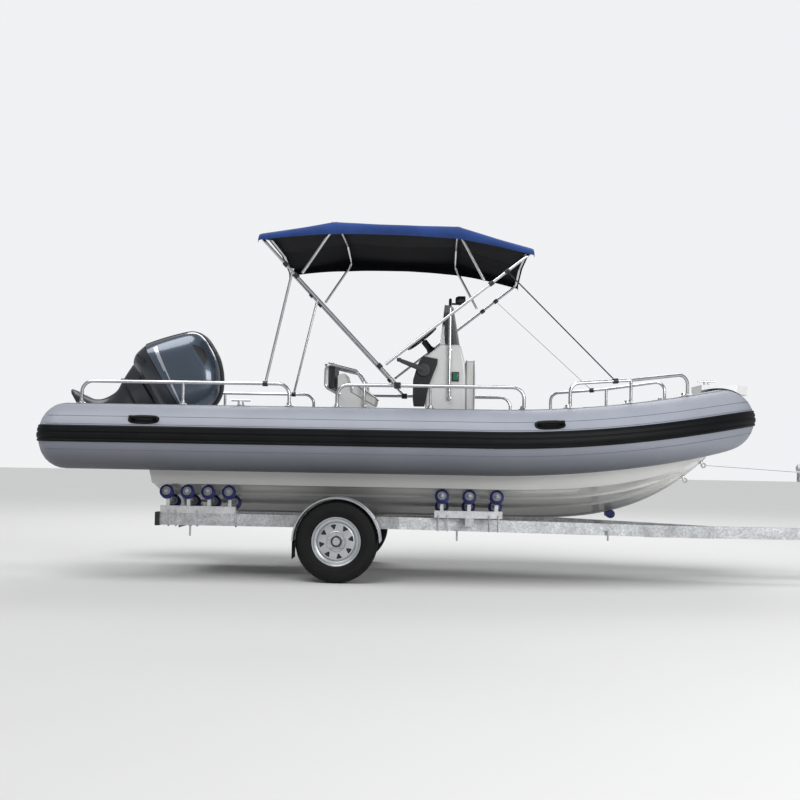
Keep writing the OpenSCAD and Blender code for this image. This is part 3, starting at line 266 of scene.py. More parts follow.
def surface(name, base, rough, metal=0.0, patch=(0.92, 1.05), patch_scale=3.0, grain=0.0, grain_scale=400.0,
            rough_spread=0.06, coat=0.0, sheen=0.0, cells=None, weave=None, spec=0.5, alpha=1.0, painted_shade=None):
    """A Principled surface with broad patches of tone and fine grain.

    cells is (scale, depth) of spangles, weave (scale, bump) of threads, and shade (low, high, darkest)
    is painted shading: it darkens the surface by its own height, from high down to low.
    """
    mat = bpy.data.materials.new(name)
    mat.use_nodes = True
    tree = mat.node_tree
    shader = tree.nodes["Principled BSDF"]
    shader.inputs["Metallic"].default_value = metal
    shader.inputs["Coat Weight"].default_value = coat
    shader.inputs["Coat Roughness"].default_value = 0.08
    shader.inputs["Sheen Weight"].default_value = sheen
    shader.inputs["Specular IOR Level"].default_value = spec
    shader.inputs["Alpha"].default_value = alpha
    place = tree.nodes.new("ShaderNodeTexCoord")
    broad = node_in(tree, "ShaderNodeTexNoise", Scale=patch_scale, Detail=5.0, Roughness=0.6)
    tree.links.new(place.outputs["Object"], broad.inputs["Vector"])
    tone = ramp(tree, broad.outputs["Fac"], [(0.3, rgba(base, patch[0])), (0.7, rgba(base, patch[1]))])
    colour = tone.outputs["Color"]
    if cells:
        cell = node_in(tree, "ShaderNodeTexVoronoi", Scale=cells[0], Randomness=1.0)
        tree.links.new(place.outputs["Object"], cell.inputs["Vector"])
        grey = tree.nodes.new("ShaderNodeRGBToBW")
        tree.links.new(cell.outputs["Color"], grey.inputs["Color"])
        spangle = ramp(tree, grey.outputs["Val"], [(0.2, rgba((1 - cells[1],) * 3)), (0.8, (1, 1, 1, 1))])
        both = node_in(tree, "ShaderNodeMixRGB", Fac=1.0)
        both.blend_type = "MULTIPLY"
        tree.links.new(colour, both.inputs["Color1"])
        tree.links.new(spangle.outputs["Color"], both.inputs["Color2"])
        colour = both.outputs["Color"]
    # Painted shading: the colour is scaled down with the surface's height, to its darkest at low.
    if painted_shade:
        low, high, darkest = painted_shade
        level = tree.nodes.new("ShaderNodeSeparateXYZ")
        tree.links.new(place.outputs["Object"], level.inputs["Vector"])
        rise = node_in(tree, "ShaderNodeMapRange",
                       **{"From Min": low, "From Max": high, "To Min": darkest, "To Max": 1.0})
        tree.links.new(level.outputs["Z"], rise.inputs["Value"])
        toned = tree.nodes.new("ShaderNodeVectorMath")
        toned.operation = "SCALE"
        tree.links.new(colour, toned.inputs[0])
        tree.links.new(rise.outputs["Result"], toned.inputs["Scale"])
        colour = toned.outputs["Vector"]
    tree.links.new(colour, shader.inputs["Base Color"])
    spread = node_in(tree, "ShaderNodeMapRange",
                     **{"To Min": max(0.02, rough - rough_spread), "To Max": min(1.0, rough + rough_spread)})
    tree.links.new(broad.outputs["Fac"], spread.inputs["Value"])
    tree.links.new(spread.outputs["Result"], shader.inputs["Roughness"])
    heights = []
    if grain:
        fine = node_in(tree, "ShaderNodeTexNoise", Scale=grain_scale, Detail=3.0)
        tree.links.new(place.outputs["Object"], fine.inputs["Vector"])
        heights.append((fine.outputs["Fac"], grain))
    if weave:
        for direction in ("X", "Z"):
            wave = node_in(tree, "ShaderNodeTexWave", Scale=weave[0], Distortion=0.6, Detail=1.0)
            wave.bands_direction = direction
            tree.links.new(place.outputs["Object"], wave.inputs["Vector"])
            heights.append((wave.outputs["Fac"], weave[1]))
    normal = None
    for source, strength in heights:
        bump = node_in(tree, "ShaderNodeBump", Strength=strength, Distance=0.002)
        tree.links.new(source, bump.inputs["Height"])
        if normal:
            tree.links.new(normal, bump.inputs["Normal"])
        normal = bump.outputs["Normal"]
    if normal:
        tree.links.new(normal, shader.inputs["Normal"])
    return mat


# Gelcoat of hull, transom, spray strakes and keel strip, with painted shading that darkens it towards the keel.
GELCOAT = surface("gelcoat", (0.74, 0.74, 0.72), 0.2, patch=(0.95, 1.03), patch_scale=1.5, coat=0.5,
                  grain=0.03, grain_scale=60, painted_shade=(0.50, 0.95, 0.24))
GELCOAT_TOP = surface("gelcoat_topside", (0.78, 0.78, 0.77), 0.22, patch=(0.95, 1.02), patch_scale=2.0,
                      coat=0.5, grain=0.03, grain_scale=80)
DECK = surface("deck_nonslip", (0.55, 0.56, 0.56), 0.6, patch=(0.85, 1.05), grain=0.6, grain_scale=260)
# Collar fabric with painted shading that darkens the tubes from their middle down to their underside.
COLLAR = surface("collar_fabric", (0.285, 0.305, 0.355), 0.5, patch=(0.93, 1.06), patch_scale=2.2,
                 grain=0.12, grain_scale=900, spec=0.4, painted_shade=(0.87, 1.16, 0.2))
COLLAR_TAPE = surface("collar_tape", (0.13, 0.14, 0.17), 0.55, patch=(0.92, 1.06), grain=0.15,
                      grain_scale=700)
BLACK_RUBBER = surface("black_rubber", (0.003, 0.0034, 0.004), 0.5, patch=(0.7, 1.5), patch_scale=5,
                       grain=0.15, grain_scale=300, spec=0.16)
BLACK_PLASTIC = surface("black_plastic", (0.014, 0.014, 0.016), 0.38, patch=(0.8, 1.4), grain=0.15,
                        grain_scale=350)
LEVER_GREY = surface("lever_grey", (0.045, 0.046, 0.050), 0.42, patch=(0.85, 1.2), grain=0.12,
                     grain_scale=350)
WHITE_PLASTIC = surface("white_plastic", (0.76, 0.76, 0.75), 0.35, patch=(0.94, 1.03), grain=0.08,
                        grain_scale=200)
STAINLESS = surface("stainless_steel", (0.62, 0.625, 0.64), 0.2, metal=1.0, patch=(0.9, 1.05), patch_scale=12,
                    grain=0.04, grain_scale=500, rough_spread=0.07)
GALVANISED = surface("galvanised_steel", (0.66, 0.675, 0.69), 0.47, metal=0.85, patch=(0.72, 1.15),
                     patch_scale=7, cells=(70, 0.28), grain=0.14, grain_scale=160, rough_spread=0.12)
GALVANISED_NEW = surface("galvanised_bright", (0.80, 0.81, 0.82), 0.42, metal=0.8, patch=(0.8, 1.1),
                         patch_scale=7, grain=0.1, grain_scale=220, rough_spread=0.12, cells=(90, 0.16))
CAST = surface("cast_coupling", (0.30, 0.31, 0.32), 0.5, metal=0.7, patch=(0.75, 1.15), patch_scale=14,
               grain=0.35, grain_scale=220)
NAVY_CANVAS = surface("navy_canvas", (0.019, 0.055, 0.215), 0.85, patch=(0.75, 1.3), patch_scale=3.5,
                      sheen=0.25, grain=0.1, grain_scale=500, weave=(420, 0.25), spec=0.25)
CANVAS_UNDER = surface("canvas_underside", (0.0012, 0.0014, 0.003), 0.9, patch=(0.8, 1.3), weave=(420, 0.2),
                       spec=0.2)
WEBBING = surface("black_webbing", (0.012, 0.012, 0.014), 0.8, patch=(0.8, 1.4), weave=(600, 0.5), sheen=0.15)
NAVY_WEBBING = surface("navy_webbing", (0.015, 0.03, 0.11), 0.8, patch=(0.8, 1.4), weave=(600, 0.5),
                       sheen=0.15)
VINYL = surface("white_vinyl", (0.70, 0.70, 0.68), 0.42, patch=(0.93, 1.03), patch_scale=4, grain=0.25,
                grain_scale=320, sheen=0.05)
GREY_VINYL = surface("grey_vinyl", (0.26, 0.27, 0.28), 0.45, patch=(0.9, 1.08), grain=0.25, grain_scale=320)
DARK_VINYL = surface("dark_vinyl", (0.025, 0.027, 0.03), 0.42, patch=(0.85, 1.3), grain=0.25, grain_scale=320)
COWL_PAINT = surface("cowl_paint", (0.066, 0.090, 0.125), 0.24, metal=0.45, patch=(0.93, 1.07), patch_scale=2,
                     grain=0.05, grain_scale=1200, coat=1.0, rough_spread=0.03)
COWL_TRIM = surface("cowl_trim", (0.006, 0.007, 0.008), 0.5, spec=0.3, patch=(0.85, 1.2), grain=0.15,
                    grain_scale=400)
SILVER_STRIPE = surface("silver_stripe", (0.52, 0.55, 0.60), 0.25, metal=0.6, patch=(0.96, 1.03), coat=0.8)
NAVY_STRIPE = surface("navy_stripe", (0.012, 0.03, 0.13), 0.25, patch=(0.95, 1.05), coat=0.8)
LEG_PAINT = surface("leg_paint", (0.024, 0.029, 0.036), 0.32, metal=0.35, patch=(0.88, 1.1), patch_scale=6,
                    grain=0.06, grain_scale=300, coat=0.6)
ENGINE_DARK = surface("engine_dark", (0.02, 0.022, 0.026), 0.42, metal=0.3, patch=(0.8, 1.3), patch_scale=9,
                      grain=0.15, grain_scale=300)
POWERHEAD = surface("powerhead_alloy", (0.34, 0.35, 0.36), 0.45, metal=0.8, patch=(0.75, 1.15), grain=0.2)
PROPELLER = surface("propeller_paint", (0.022, 0.024, 0.028), 0.33, metal=0.4, patch=(0.8, 1.3),
                    patch_scale=12, coat=0.4, grain=0.06)
TYRE = surface("tyre_rubber", (0.0042, 0.0044, 0.0047), 0.62, patch=(0.75, 1.6), patch_scale=8, grain=0.25,
               grain_scale=350, spec=0.22)
RIM = surface("rim_silver", (0.52, 0.54, 0.56), 0.33, metal=0.75, patch=(0.9, 1.06), patch_scale=9,
              grain=0.05, grain_scale=400, rough_spread=0.08)
RIM_DARK = surface("rim_shadow", (0.05, 0.052, 0.055), 0.6, metal=0.3, patch=(0.8, 1.2))
MUDGUARD = surface("mudguard_silver", (0.50, 0.52, 0.54), 0.36, metal=0.75, patch=(0.85, 1.06), patch_scale=5,
                   grain=0.07, grain_scale=200, rough_spread=0.1)
ROLLER_BLUE = surface("roller_blue", (0.008, 0.014, 0.105), 0.45, spec=0.35, patch=(0.75, 1.25),
                      patch_scale=25, grain=0.15, grain_scale=200)
ROLLER_HUB = surface("roller_hub", (0.24, 0.245, 0.25), 0.45, patch=(0.8, 1.08), patch_scale=30, grain=0.1)
LENS_RED = surface("red_lens", (0.35, 0.012, 0.01), 0.15, patch=(0.85, 1.1), patch_scale=30, coat=1.0)
LENS_GREEN = surface("green_lens", (0.0, 0.17, 0.08), 0.12, patch=(0.85, 1.15), patch_scale=30, coat=1.0)
SMOKED = surface("smoked_screen", (0.030, 0.036, 0.045), 0.06, patch=(0.9, 1.1), coat=1.0, alpha=0.72)
FLOOR = surface("studio_floor", (0.60, 0.60, 0.60), 0.8, patch=(0.99, 1.01), patch_scale=0.5)

CAD_LOOKS = dict(
    deck=DECK, transom=GELCOAT, tube_handles=BLACK_RUBBER, bow_plate=GELCOAT_TOP,
    mooring_cleats=STAINLESS, bow_eyes=STAINLESS, bow_locker=GELCOAT_TOP, bow_locker_lid=GELCOAT_TOP,
    helm_controls=BLACK_PLASTIC, searchlight=BLACK_PLASTIC, steering_wheel=BLACK_PLASTIC,
    canopy_fittings=BLACK_PLASTIC, canopy_straps=WEBBING, windscreen=SMOKED, engine_clamp=ENGINE_DARK,
    engine_swivel=ENGINE_DARK, engine_powerhead=POWERHEAD, side_beams=GALVANISED,
    cross_members=GALVANISED, drawbar=GALVANISED, axle=GALVANISED, rim_starboard=RIM, rim_port=RIM,
    mudguards=MUDGUARD, mud_flaps=BLACK_RUBBER, roller_cradles=GALVANISED_NEW, tail_lights=BLACK_PLASTIC,
    winch_post=GALVANISED, winch=GALVANISED, winch_strap=NAVY_WEBBING, coupling=CAST,
    jockey_leg=GALVANISED, jockey_fork=GALVANISED, jockey_wheel=BLACK_RUBBER, helm_seat=WHITE_PLASTIC,
    bow_rails=STAINLESS, stern_rails=STAINLESS, midship_rails=STAINLESS, console_rail=STAINLESS,
    helm_seat_frame=STAINLESS, canopy_main_bows=STAINLESS, canopy_secondary_bows=STAINLESS,
    canopy_poles=STAINLESS, console=GELCOAT_TOP, boat_hull=GELCOAT, collar=COLLAR,
    rub_strake=BLACK_RUBBER, nav_lights=LENS_GREEN, console_seat=VINYL, helm_seat_cushion=VINYL,
    helm_backrest=DARK_VINYL, canopy_sheet=NAVY_CANVAS, engine_cowl=COWL_PAINT,
    engine_midsection=LEG_PAINT, engine_gearcase=LEG_PAINT, propeller=PROPELLER, tyre_starboard=TYRE,
    tyre_port=TYRE, hull_rollers=ROLLER_BLUE, keel_rollers=ROLLER_BLUE)
for node, look in CAD_LOOKS.items():
    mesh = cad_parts[node].data
    if not mesh.materials:
        mesh.materials.append(look)
    for k in range(len(mesh.materials)):
        mesh.materials[k] = look


# ---- the collar --------------------------------------------------------------
def path_x(a):
    """Station of the collar's centre line at the bow angle a: 0 abeam, a right angle at the tip."""
    return STRAIGHT_L + BOW_L * math.sin(a) ** (1 / BOW_POWER)


def sheer(x):
    """Height of the collar's centre line."""
    return TUBE_Z + SHEER_RISE * (max(0.0, x - SHEER_START) / (TIP_X - SHEER_START)) ** 2


def path_point(a, side):
    return Vector((path_x(a), side * TUBE_Y * math.cos(a), sheer(path_x(a))))


def path_angle(x):
    return 0.0 if x <= STRAIGHT_L else math.asin(min(1.0, ((x - STRAIGHT_L) / BOW_L) ** BOW_POWER))


def station_point(x, side):
    return path_point(path_angle(x), side) if x > STRAIGHT_L else Vector((x, side * TUBE_Y, sheer(x)))


def tube_frame(x, side):
    """Centre, outward and upward directions of the collar at a station."""
    p = station_point(x, side)
    t = (station_point(min(x + 0.004, TIP_X), side) - station_point(x - 0.004, side)).normalized()
    o = t.cross(Vector((0, 0, 1))).normalized() * (-side)
    u = (Vector((0, 0, 1)) - t.z * t).normalized()
    return p, o, u


BOW_STEPS = 36
HALF_LINE = ([(mix(CAP_L, STRAIGHT_L, k / 10), None) for k in range(10)]
             + [(None, math.pi / 2 * k / BOW_STEPS) for k in range(BOW_STEPS)])
COLLAR_LINE = [Vector((x, -TUBE_Y, sheer(x))) if a is None else path_point(a, -1) for x, a in HALF_LINE]
COLLAR_LINE += [path_point(math.pi / 2, 1)]
COLLAR_LINE += [Vector((p.x, -p.y, p.z)) for p in reversed(COLLAR_LINE[:-1])]


def line_frame(i):
    """Centre, outward and upward directions at a point of the collar's line."""
    p = COLLAR_LINE[i]
    t = (COLLAR_LINE[min(i + 1, len(COLLAR_LINE) - 1)] - COLLAR_LINE[max(i - 1, 0)]).normalized()
    o = t.cross(Vector((0, 0, 1))).normalized()
    return p, o, o.cross(t)


def along_collar(section):
    """Rings of a section, given as [angle in degrees, radius], all round the collar."""
    rings = []
    for i in range(len(COLLAR_LINE)):
        p, o, u = line_frame(i)
        rings.append([at(*(p + r * (math.cos(math.radians(a)) * o + math.sin(math.radians(a)) * u)))
                      for a, r in section])
    return rings


def collar_piece():
    sides = 48
    body = along_collar([(360 * k / sides, TUBE_R) for k in range(sides)])
    ends = []
    for first in (True, False):
        p, o, u = line_frame(0 if first else len(COLLAR_LINE) - 1)
        dome = []
        for k in range(1, 9):
            f = math.pi / 2 * k / 8
            r = max(0.012, TUBE_R * math.cos(f) ** 0.8)
            c = Vector((p.x - CAP_L * math.sin(f), p.y, p.z))
            dome.append([at(*(c + r
                              * (math.cos(math.tau * j / sides) * o + math.sin(math.tau * j / sides) * u)))
                         for j in range(sides)])
        ends.append(dome)
    return loft("collar_tubes", list(reversed(ends[0])) + body + ends[1], COLLAR, ROOT,
                ("collar",), angle=60)


collar_piece()
# The ridged strake's section: angle round the tube in degrees, height over the tube
STRAKE_PROFILE = [(-10.5, 0.002), (-10, 0.010), (-8.4, STRAKE_T), (-6.6, 0.0125), (-5.6, 0.007),
                  (-4.2, 0.007),
                  (-3.4, 0.0125), (-0.4, 0.015), (1.6, 0.015), (4.4, 0.0125), (5.2, 0.007), (6.6, 0.007),
                  (7.6, 0.0125), (12.5, 0.0125), (13.4, 0.0075), (14.4, 0.0075), (15.2, 0.011), (17.8, 0.009),
                  (18.5, 0.002)]


def around_cap(section, first, f):
    """One ring of a section carried on over the rounded end of a tube, at the same heights."""
    p, o, u = line_frame(0 if first else len(COLLAR_LINE) - 1)
    r = TUBE_R * math.cos(f) ** 0.8
    out = Vector((CAP_L * math.cos(f), 0.8 * TUBE_R * math.cos(f) ** -0.2 * math.sin(f))).normalized()
    ring = []
    for deg, radius in section:
        a = math.asin(min(0.98, TUBE_R * math.sin(math.radians(deg)) / r))
        ray = math.cos(a) * o + math.sin(a) * u
        q = Vector((p.x - CAP_L * math.sin(f), p.y, p.z)) + r * ray
        ring.append(at(*(q + (radius - TUBE_R) * (out.x * ray - out.y * Vector((1, 0, 0))))))
    return ring


CAP_STEPS = [math.radians(6 * k) for k in range(1, 12)]


def with_caps(section, steps=CAP_STEPS):
    """Rings of a section round the collar and on over both rounded ends."""
    return ([around_cap(section, True, f) for f in reversed(steps)] + along_collar(section)
            + [around_cap(section, False, f) for f in steps])


loft("rub_strake_ridged",
     with_caps([(a, TUBE_R + 0.0004 + h * 0.93) for a, h in STRAKE_PROFILE]
               + [(18.5, TUBE_R + 0.0002), (4, TUBE_R + 0.0002), (-10.5, TUBE_R + 0.0002)]),
     BLACK_RUBBER, ROOT, ("rub_strake",), angle=25)
# Lengthwise seams: first and last angle round the tube, in degrees
SEAMS = {"seam_line_upper": (36.3, 37.3), "seam_line_strake": (20.6, 21.4),
         "seam_line_lower": (-24.5, -23.6), "seam_tape_top": (78, 84)}
TAPE_FOOT = 0.0002                  # a tape's edges over the fabric
TAPE_LIFT = 0.0014                  # a tape's face over the fabric
for name, (a0, a1) in SEAMS.items():
    section = [(a0, TUBE_R + TAPE_FOOT), (a0 + 0.2, TUBE_R + TAPE_LIFT),
               (a1 - 0.2, TUBE_R + TAPE_LIFT), (a1, TUBE_R + TAPE_FOOT)]
    loft(name, with_caps(section, CAP_STEPS[:5]), COLLAR_TAPE, ROOT, angle=50)


def girth_tapes():
    """Welds round the tube where its panels meet."""
    parts = []
    for side in SIDES:
        for x in (0.56, 1.62, 2.72, 3.62, 4.42, 5.02):
            rings = []
            for dx, lift in ((-0.016, TAPE_FOOT), (-0.014, TAPE_LIFT), (0.014, TAPE_LIFT),
                             (0.016, TAPE_FOOT)):
                p, o, u = tube_frame(x + dx, side)
                rings.append([at(*(p + (TUBE_R + lift) * (math.cos(a) * o + math.sin(a) * u)))
                              for a in (math.radians(mix(88, 160, k / 24)) for k in range(25))])
            parts.append(([q for r in rings for q in r], ring_faces(4, 25, closed=False, caps=False)))
    joined("girth_seams", parts, COLLAR_TAPE, ROOT)


girth_tapes()


def handle_grips():
    """The oval rubber pads under the grab handles on the tubes' shoulders."""
    parts = []
    for side in SIDES:
        for x in (0.890, 4.065):
            p, o, u = tube_frame(x, side)
            e = math.radians(31)
            out = (math.cos(e) * o + math.sin(e) * u)
            t = (tube_frame(x + 0.05, side)[0] - tube_frame(x - 0.05, side)[0]).normalized()
            across = t.cross(out)
            n = 28
            rings = []
            for k in range(5):
                f = k / 4
                size, lift = (1 - 0.10 * f * f), 0.0005 + 0.007 * f
                ring = []
                for j in range(n):
                    c, s = math.cos(math.tau * j / n), math.sin(math.tau * j / n)
                    a = 0.125 * size * math.copysign(abs(c) ** 0.6, c)
                    b = 0.042 * size * math.copysign(abs(s) ** 0.8, s)
                    drop = b * b / (2 * TUBE_R)
                    ring.append(at(*(p + a * t + b * across + (TUBE_R + lift - drop) * out)))
                rings.append(ring)
            parts.append(([q for r in rings for q in r], ring_faces(5, n)))
    joined("handle_pads", parts, BLACK_RUBBER, ROOT)


handle_grips()

# ---- the hull ----------------------------------------------------------------
SHELF = (30, 62)                    # degrees round the tube's underside at which the shelf begins and ends
BOW_SHELF = 18                      # where it begins at the tip
SEAT_R = TUBE_R + 0.0006            # radius of the shelf under the tube
FLANGE_W = 0.045
CHINE_SHARE = 0.96                  # how far out the bottom ends, of the way to the tube


def keel_line(x):
    return KEEL_Z + STEM_RISE * (max(0.0, x - KEEL_START) / (STEM_X - KEEL_START - 0.009)) ** 3.1


def under_tube(f, deg):
    """A point of the shelf, deg inboard of the tube's lowest line."""
    a = math.radians(deg)
    return f[0] - SEAT_R * math.sin(a) * f[1] - SEAT_R * math.cos(a) * f[2]


def hull_frame(a, side):
    """Centre, outward and upward directions of the tube at the bow angle a, or on its straight part."""
    if a is None:
        return Vector((0, side * TUBE_Y, TUBE_Z)), Vector((0, side, 0)), Vector((0, 0, 1))
    p = path_point(a, side)
    q, r = path_point(min(a + 0.004, math.pi / 2), side), path_point(max(a - 0.004, 0.0), side)
    t = (q - r).normalized()
    o = t.cross(Vector((0, 0, 1))).normalized() * (-side)
    u = (Vector((0, 0, 1)) - t.z * t).normalized()
    return p, o, u


def hull_section(x, a, side):
    """Half section of the hull at the straight station x, or at the bow angle a."""
    f = hull_frame(a, side)
    if a is None:
        f = (Vector((x, f[0].y, f[0].z)), f[1], f[2])
    s = 0.0 if a is None else math.sin(a)
    shelf0 = mix(SHELF[0], BOW_SHELF, s)
    kx = x if a is None else STRAIGHT_L + (STEM_X - STRAIGHT_L) * s ** (1 / BOW_POWER)
    fx = x if a is None else STRAIGHT_L + (TIP_X - 0.31 - STRAIGHT_L) * s ** (1 / BOW_POWER)
    k = Vector((kx, 0, keel_line(kx)))
    t = under_tube(f, shelf0)
    side_f = mix(1.01, 0.8, s * s)
    up = (CHINE_Z - KEEL_Z) / (TUBE_Z - SEAT_R * math.cos(math.radians(SHELF[0])) - KEEL_Z)
    spot = lambda h, v: Vector((mix(k.x, t.x, h), mix(k.y, t.y, h), mix(k.z, t.z, v)))
    inner = CHINE_SHARE * side_f / 1.01
    bottom = [mix(k, spot(inner, up), j / 5) for j in range(5)]
    topside = [mix(spot(side_f, up), t, j / 4) for j in range(4)]
    lip = under_tube(f, SHELF[1]) - FLANGE_W * f[1]
    return (bottom + [spot(inner, up)] + topside
            + [under_tube(f, mix(shelf0, SHELF[1], j / 8)) for j in range(9)]
            + [lip, Vector((lip.x, lip.y, DECK_Z)), Vector((fx, 0, DECK_Z))])


def raked(p):
    """The point moved aft by the rake of the transom."""
    return Vector((p.x - (p.z - KEEL_Z) * math.tan(TRANSOM_RAKE), p.y, p.z))


def hull_rings(side):
    rings = [[raked(p) for p in hull_section(HULL_AFT_X, None, side)]]
    rings += [hull_section(mix(HULL_AFT_X + 0.12, STRAIGHT_L, k / 8), None, side) for k in range(8)]
    rings += [hull_section(None, math.pi / 2 * k / BOW_STEPS, side) for k in range(BOW_STEPS + 1)]
    return rings


HULL = {side: hull_rings(side) for side in SIDES}


def hull_piece():
    parts = []
    for side in SIDES:
        rings = [[at(*p) for p in r] for r in HULL[side]]
        verts = [p for r in rings for p in r]
        m = len(rings[0])
        faces = ring_faces(len(rings), m, closed=False, caps=False)
        faces.append(tuple(range(m)))
        parts.append((verts, faces))
    joined("hull_shell", parts, GELCOAT, ROOT, ("boat_hull",), angle=22)


hull_piece()


def spray_strakes():
    """Two running strakes on each side of the bottom, sweeping up with the bow."""
    parts = []
    for side in SIDES:
        for share, first, last in ((0.36, 1, 38), (0.68, 1, 36)):
            rings = []
            for i in range(first, last):
                sec = HULL[side][i]
                k, c = sec[0], sec[5]
                fade = smoothstep((last - 1 - i) / 6) * smoothstep((i - first + 1) / 2)
                w, h = 0.036 * fade + 0.001, 0.020 * fade + 0.0005
                span = c - k
                down = Vector((0, 0, -1))
                if abs(span.y) > 1e-4:
                    down = Vector((0, side * span.z, -abs(span.y))).normalized()
                e = span.normalized()
                a = mix(k, c, share) + 0.001 * -down
                b = a + w * e
                rings.append([at(*q) for q in (a, a + h * down + 0.55 * w * e, b + h * down, b)])
            parts.append(([q for r in rings for q in r], ring_faces(len(rings), 4)))
    joined("spray_strakes", parts, GELCOAT, ROOT, angle=30)


spray_strakes()


def keel_band():
    """Rounded keel strip from the transom's foot to the stem."""
    rings = []
    for i in range(1, len(HULL[1]) - 4):
        k, c = HULL[1][i][0], HULL[-1][i][0]
        d = mix(k, c, 0.5)
        rings.append([at(d.x, y, d.z + dz) for y, dz in
                      ((-0.022, 0.0085), (-0.016, -0.004), (0, -0.008), (0.016, -0.004), (0.022, 0.0085))])
    loft("keel_strip", rings, GELCOAT, ROOT, angle=50)


keel_band()


# ---- rails -------------------------------------------------------------------
FOOT_H = 0.014


def rail_parts(points, posts, bend):
    """A rail's bent tube and its posts."""
    parts = [tube_part([at(*p) for p in points], RAIL_R, bend)]
    parts += [tube_part([at(*a), at(*b)], RAIL_R - 0.0015) for a, b in posts]
    return parts


def base_cup(x, side):
    """Round rail foot with a domed collar, lying on the tube."""
    p, _, u = tube_frame(x, side)
    cup = [(0, 0.036), (0.003, 0.036), (0.007, 0.031), (0.010, 0.021), (0.028, 0.0175), (0.030, 0.0145)]
    return revolve_part(cup, at(*(p + (TUBE_R + 0.0004) * u)), u, 28)


def straight_rail(name, node, x0, x1, posts):
    parts, cups = [], []
    foot = TUBE_Z + TUBE_R + FOOT_H
    for side in SIDES:
        y = side * TUBE_Y
        line = [(x0, y, foot), (x0, y, RAIL_Z), (x1, y, RAIL_Z), (x1, y, foot)]
        parts += rail_parts(line, [((x, y, foot), (x, y, RAIL_Z)) for x in posts], 0.09)
        cups += [base_cup(x, side) for x in (x0, x1, *posts)]
    joined(name, parts + cups, STAINLESS, ROOT, (node,))


straight_rail("stern_handrails", "stern_rails", 0.324, 2.010, (1.150,))
straight_rail("midship_handrails", "midship_rails", 2.396, 3.896, (3.147,))
BOW_RAIL_X = (4.273, 4.780, 5.283)


def rail_foot(x, side):
    return station_point(x, side) + Vector((0, 0, TUBE_R + 0.001))


def bow_rail_top(i, side):
    return rail_foot(BOW_RAIL_X[i], side) + Vector((0, 0, 0.199 - 0.010 * i))


def bow_rail_piece():
    parts = []
    for side in SIDES:
        foot = [rail_foot(x, side) + Vector((0, 0, FOOT_H)) for x in BOW_RAIL_X]
        top = [bow_rail_top(i, side) for i in range(3)]
        parts += rail_parts([foot[0], *top, foot[2]], [(foot[1], top[1])], 0.08)
        parts += [base_cup(x, side) for x in BOW_RAIL_X]
    joined("bow_handrails", parts, STAINLESS, ROOT, ("bow_rails",))


bow_rail_piece()


# ---- sun canopy --------------------------------------------------------------
# Side view of each bow's legs: (station, height) of the foot and of the shoulder
AFT_MAIN = ((2.882, RAIL_Z), (1.765, CANOPY_Z - 0.185))
FORE_MAIN = ((2.765, 1.738), (3.935, CANOPY_Z - 0.280))
AFT_SECOND = ((2.085, 2.458), (2.350, CANOPY_Z - SHOULDER_DROP))
FORE_SECOND = ((3.577, 2.416), (3.350, CANOPY_Z - SHOULDER_DROP - 0.027))


def leg_dir(b):
    d = Vector((b[1][0] - b[0][0], 0, b[1][1] - b[0][1]))
    return d.normalized()


def bow_part(b, start):
    """One canopy bow from side to side, its feet drawn back by start along the legs."""
    d = leg_dir(b)
    foot = Vector((b[0][0], 0, b[0][1])) + start * d
    top = b[1][1] + SHOULDER_DROP
    line = [(foot.x, -LEG_Y, foot.z), (b[1][0], -LEG_Y, b[1][1]), (b[1][0], -CROWN_Y, top),
            (b[1][0], CROWN_Y, top), (b[1][0], LEG_Y, b[1][1]), (foot.x, LEG_Y, foot.z)]
    return tube_part([at(*p) for p in line], BOW_TUBE_R, 0.07)


joined("canopy_main_tubes", [bow_part(AFT_MAIN, -0.020), bow_part(FORE_MAIN, 0.023)], STAINLESS, ROOT,
       ("canopy_main_bows",))
joined("canopy_second_tubes", [bow_part(AFT_SECOND, 0.026), bow_part(FORE_SECOND, 0.027)], STAINLESS, ROOT,
       ("canopy_secondary_bows",))

SHEET_LIFT = BOW_TUBE_R + 0.0166
SHEET_Y = LEG_Y + BOW_TUBE_R + 0.016
HEM_DROP = 0.095                    # at the middle bows
END_HEM_DROP = 0.045                # at the end bows


def sheet_profile():
    """Section of the sheet over a bow, from hem to hem: [y, height above the bow's shoulder]."""
    corner = rounded_path([(-SHEET_Y, 0, -HEM_DROP), (-SHEET_Y, 0, 0.006),
                           (-CROWN_Y, 0, SHOULDER_DROP), (CROWN_Y, 0, SHOULDER_DROP),
                           (SHEET_Y, 0, 0.006), (SHEET_Y, 0, -HEM_DROP)], 0.05, 6)
    out = []
    for a, b in zip(corner, corner[1:]):
        steps = max(1, round((b - a).length / 0.06))
        out += [a.lerp(b, k / steps) for k in range(steps)]
    out.append(corner[-1])
    return [(p.x, p.z) for p in out]


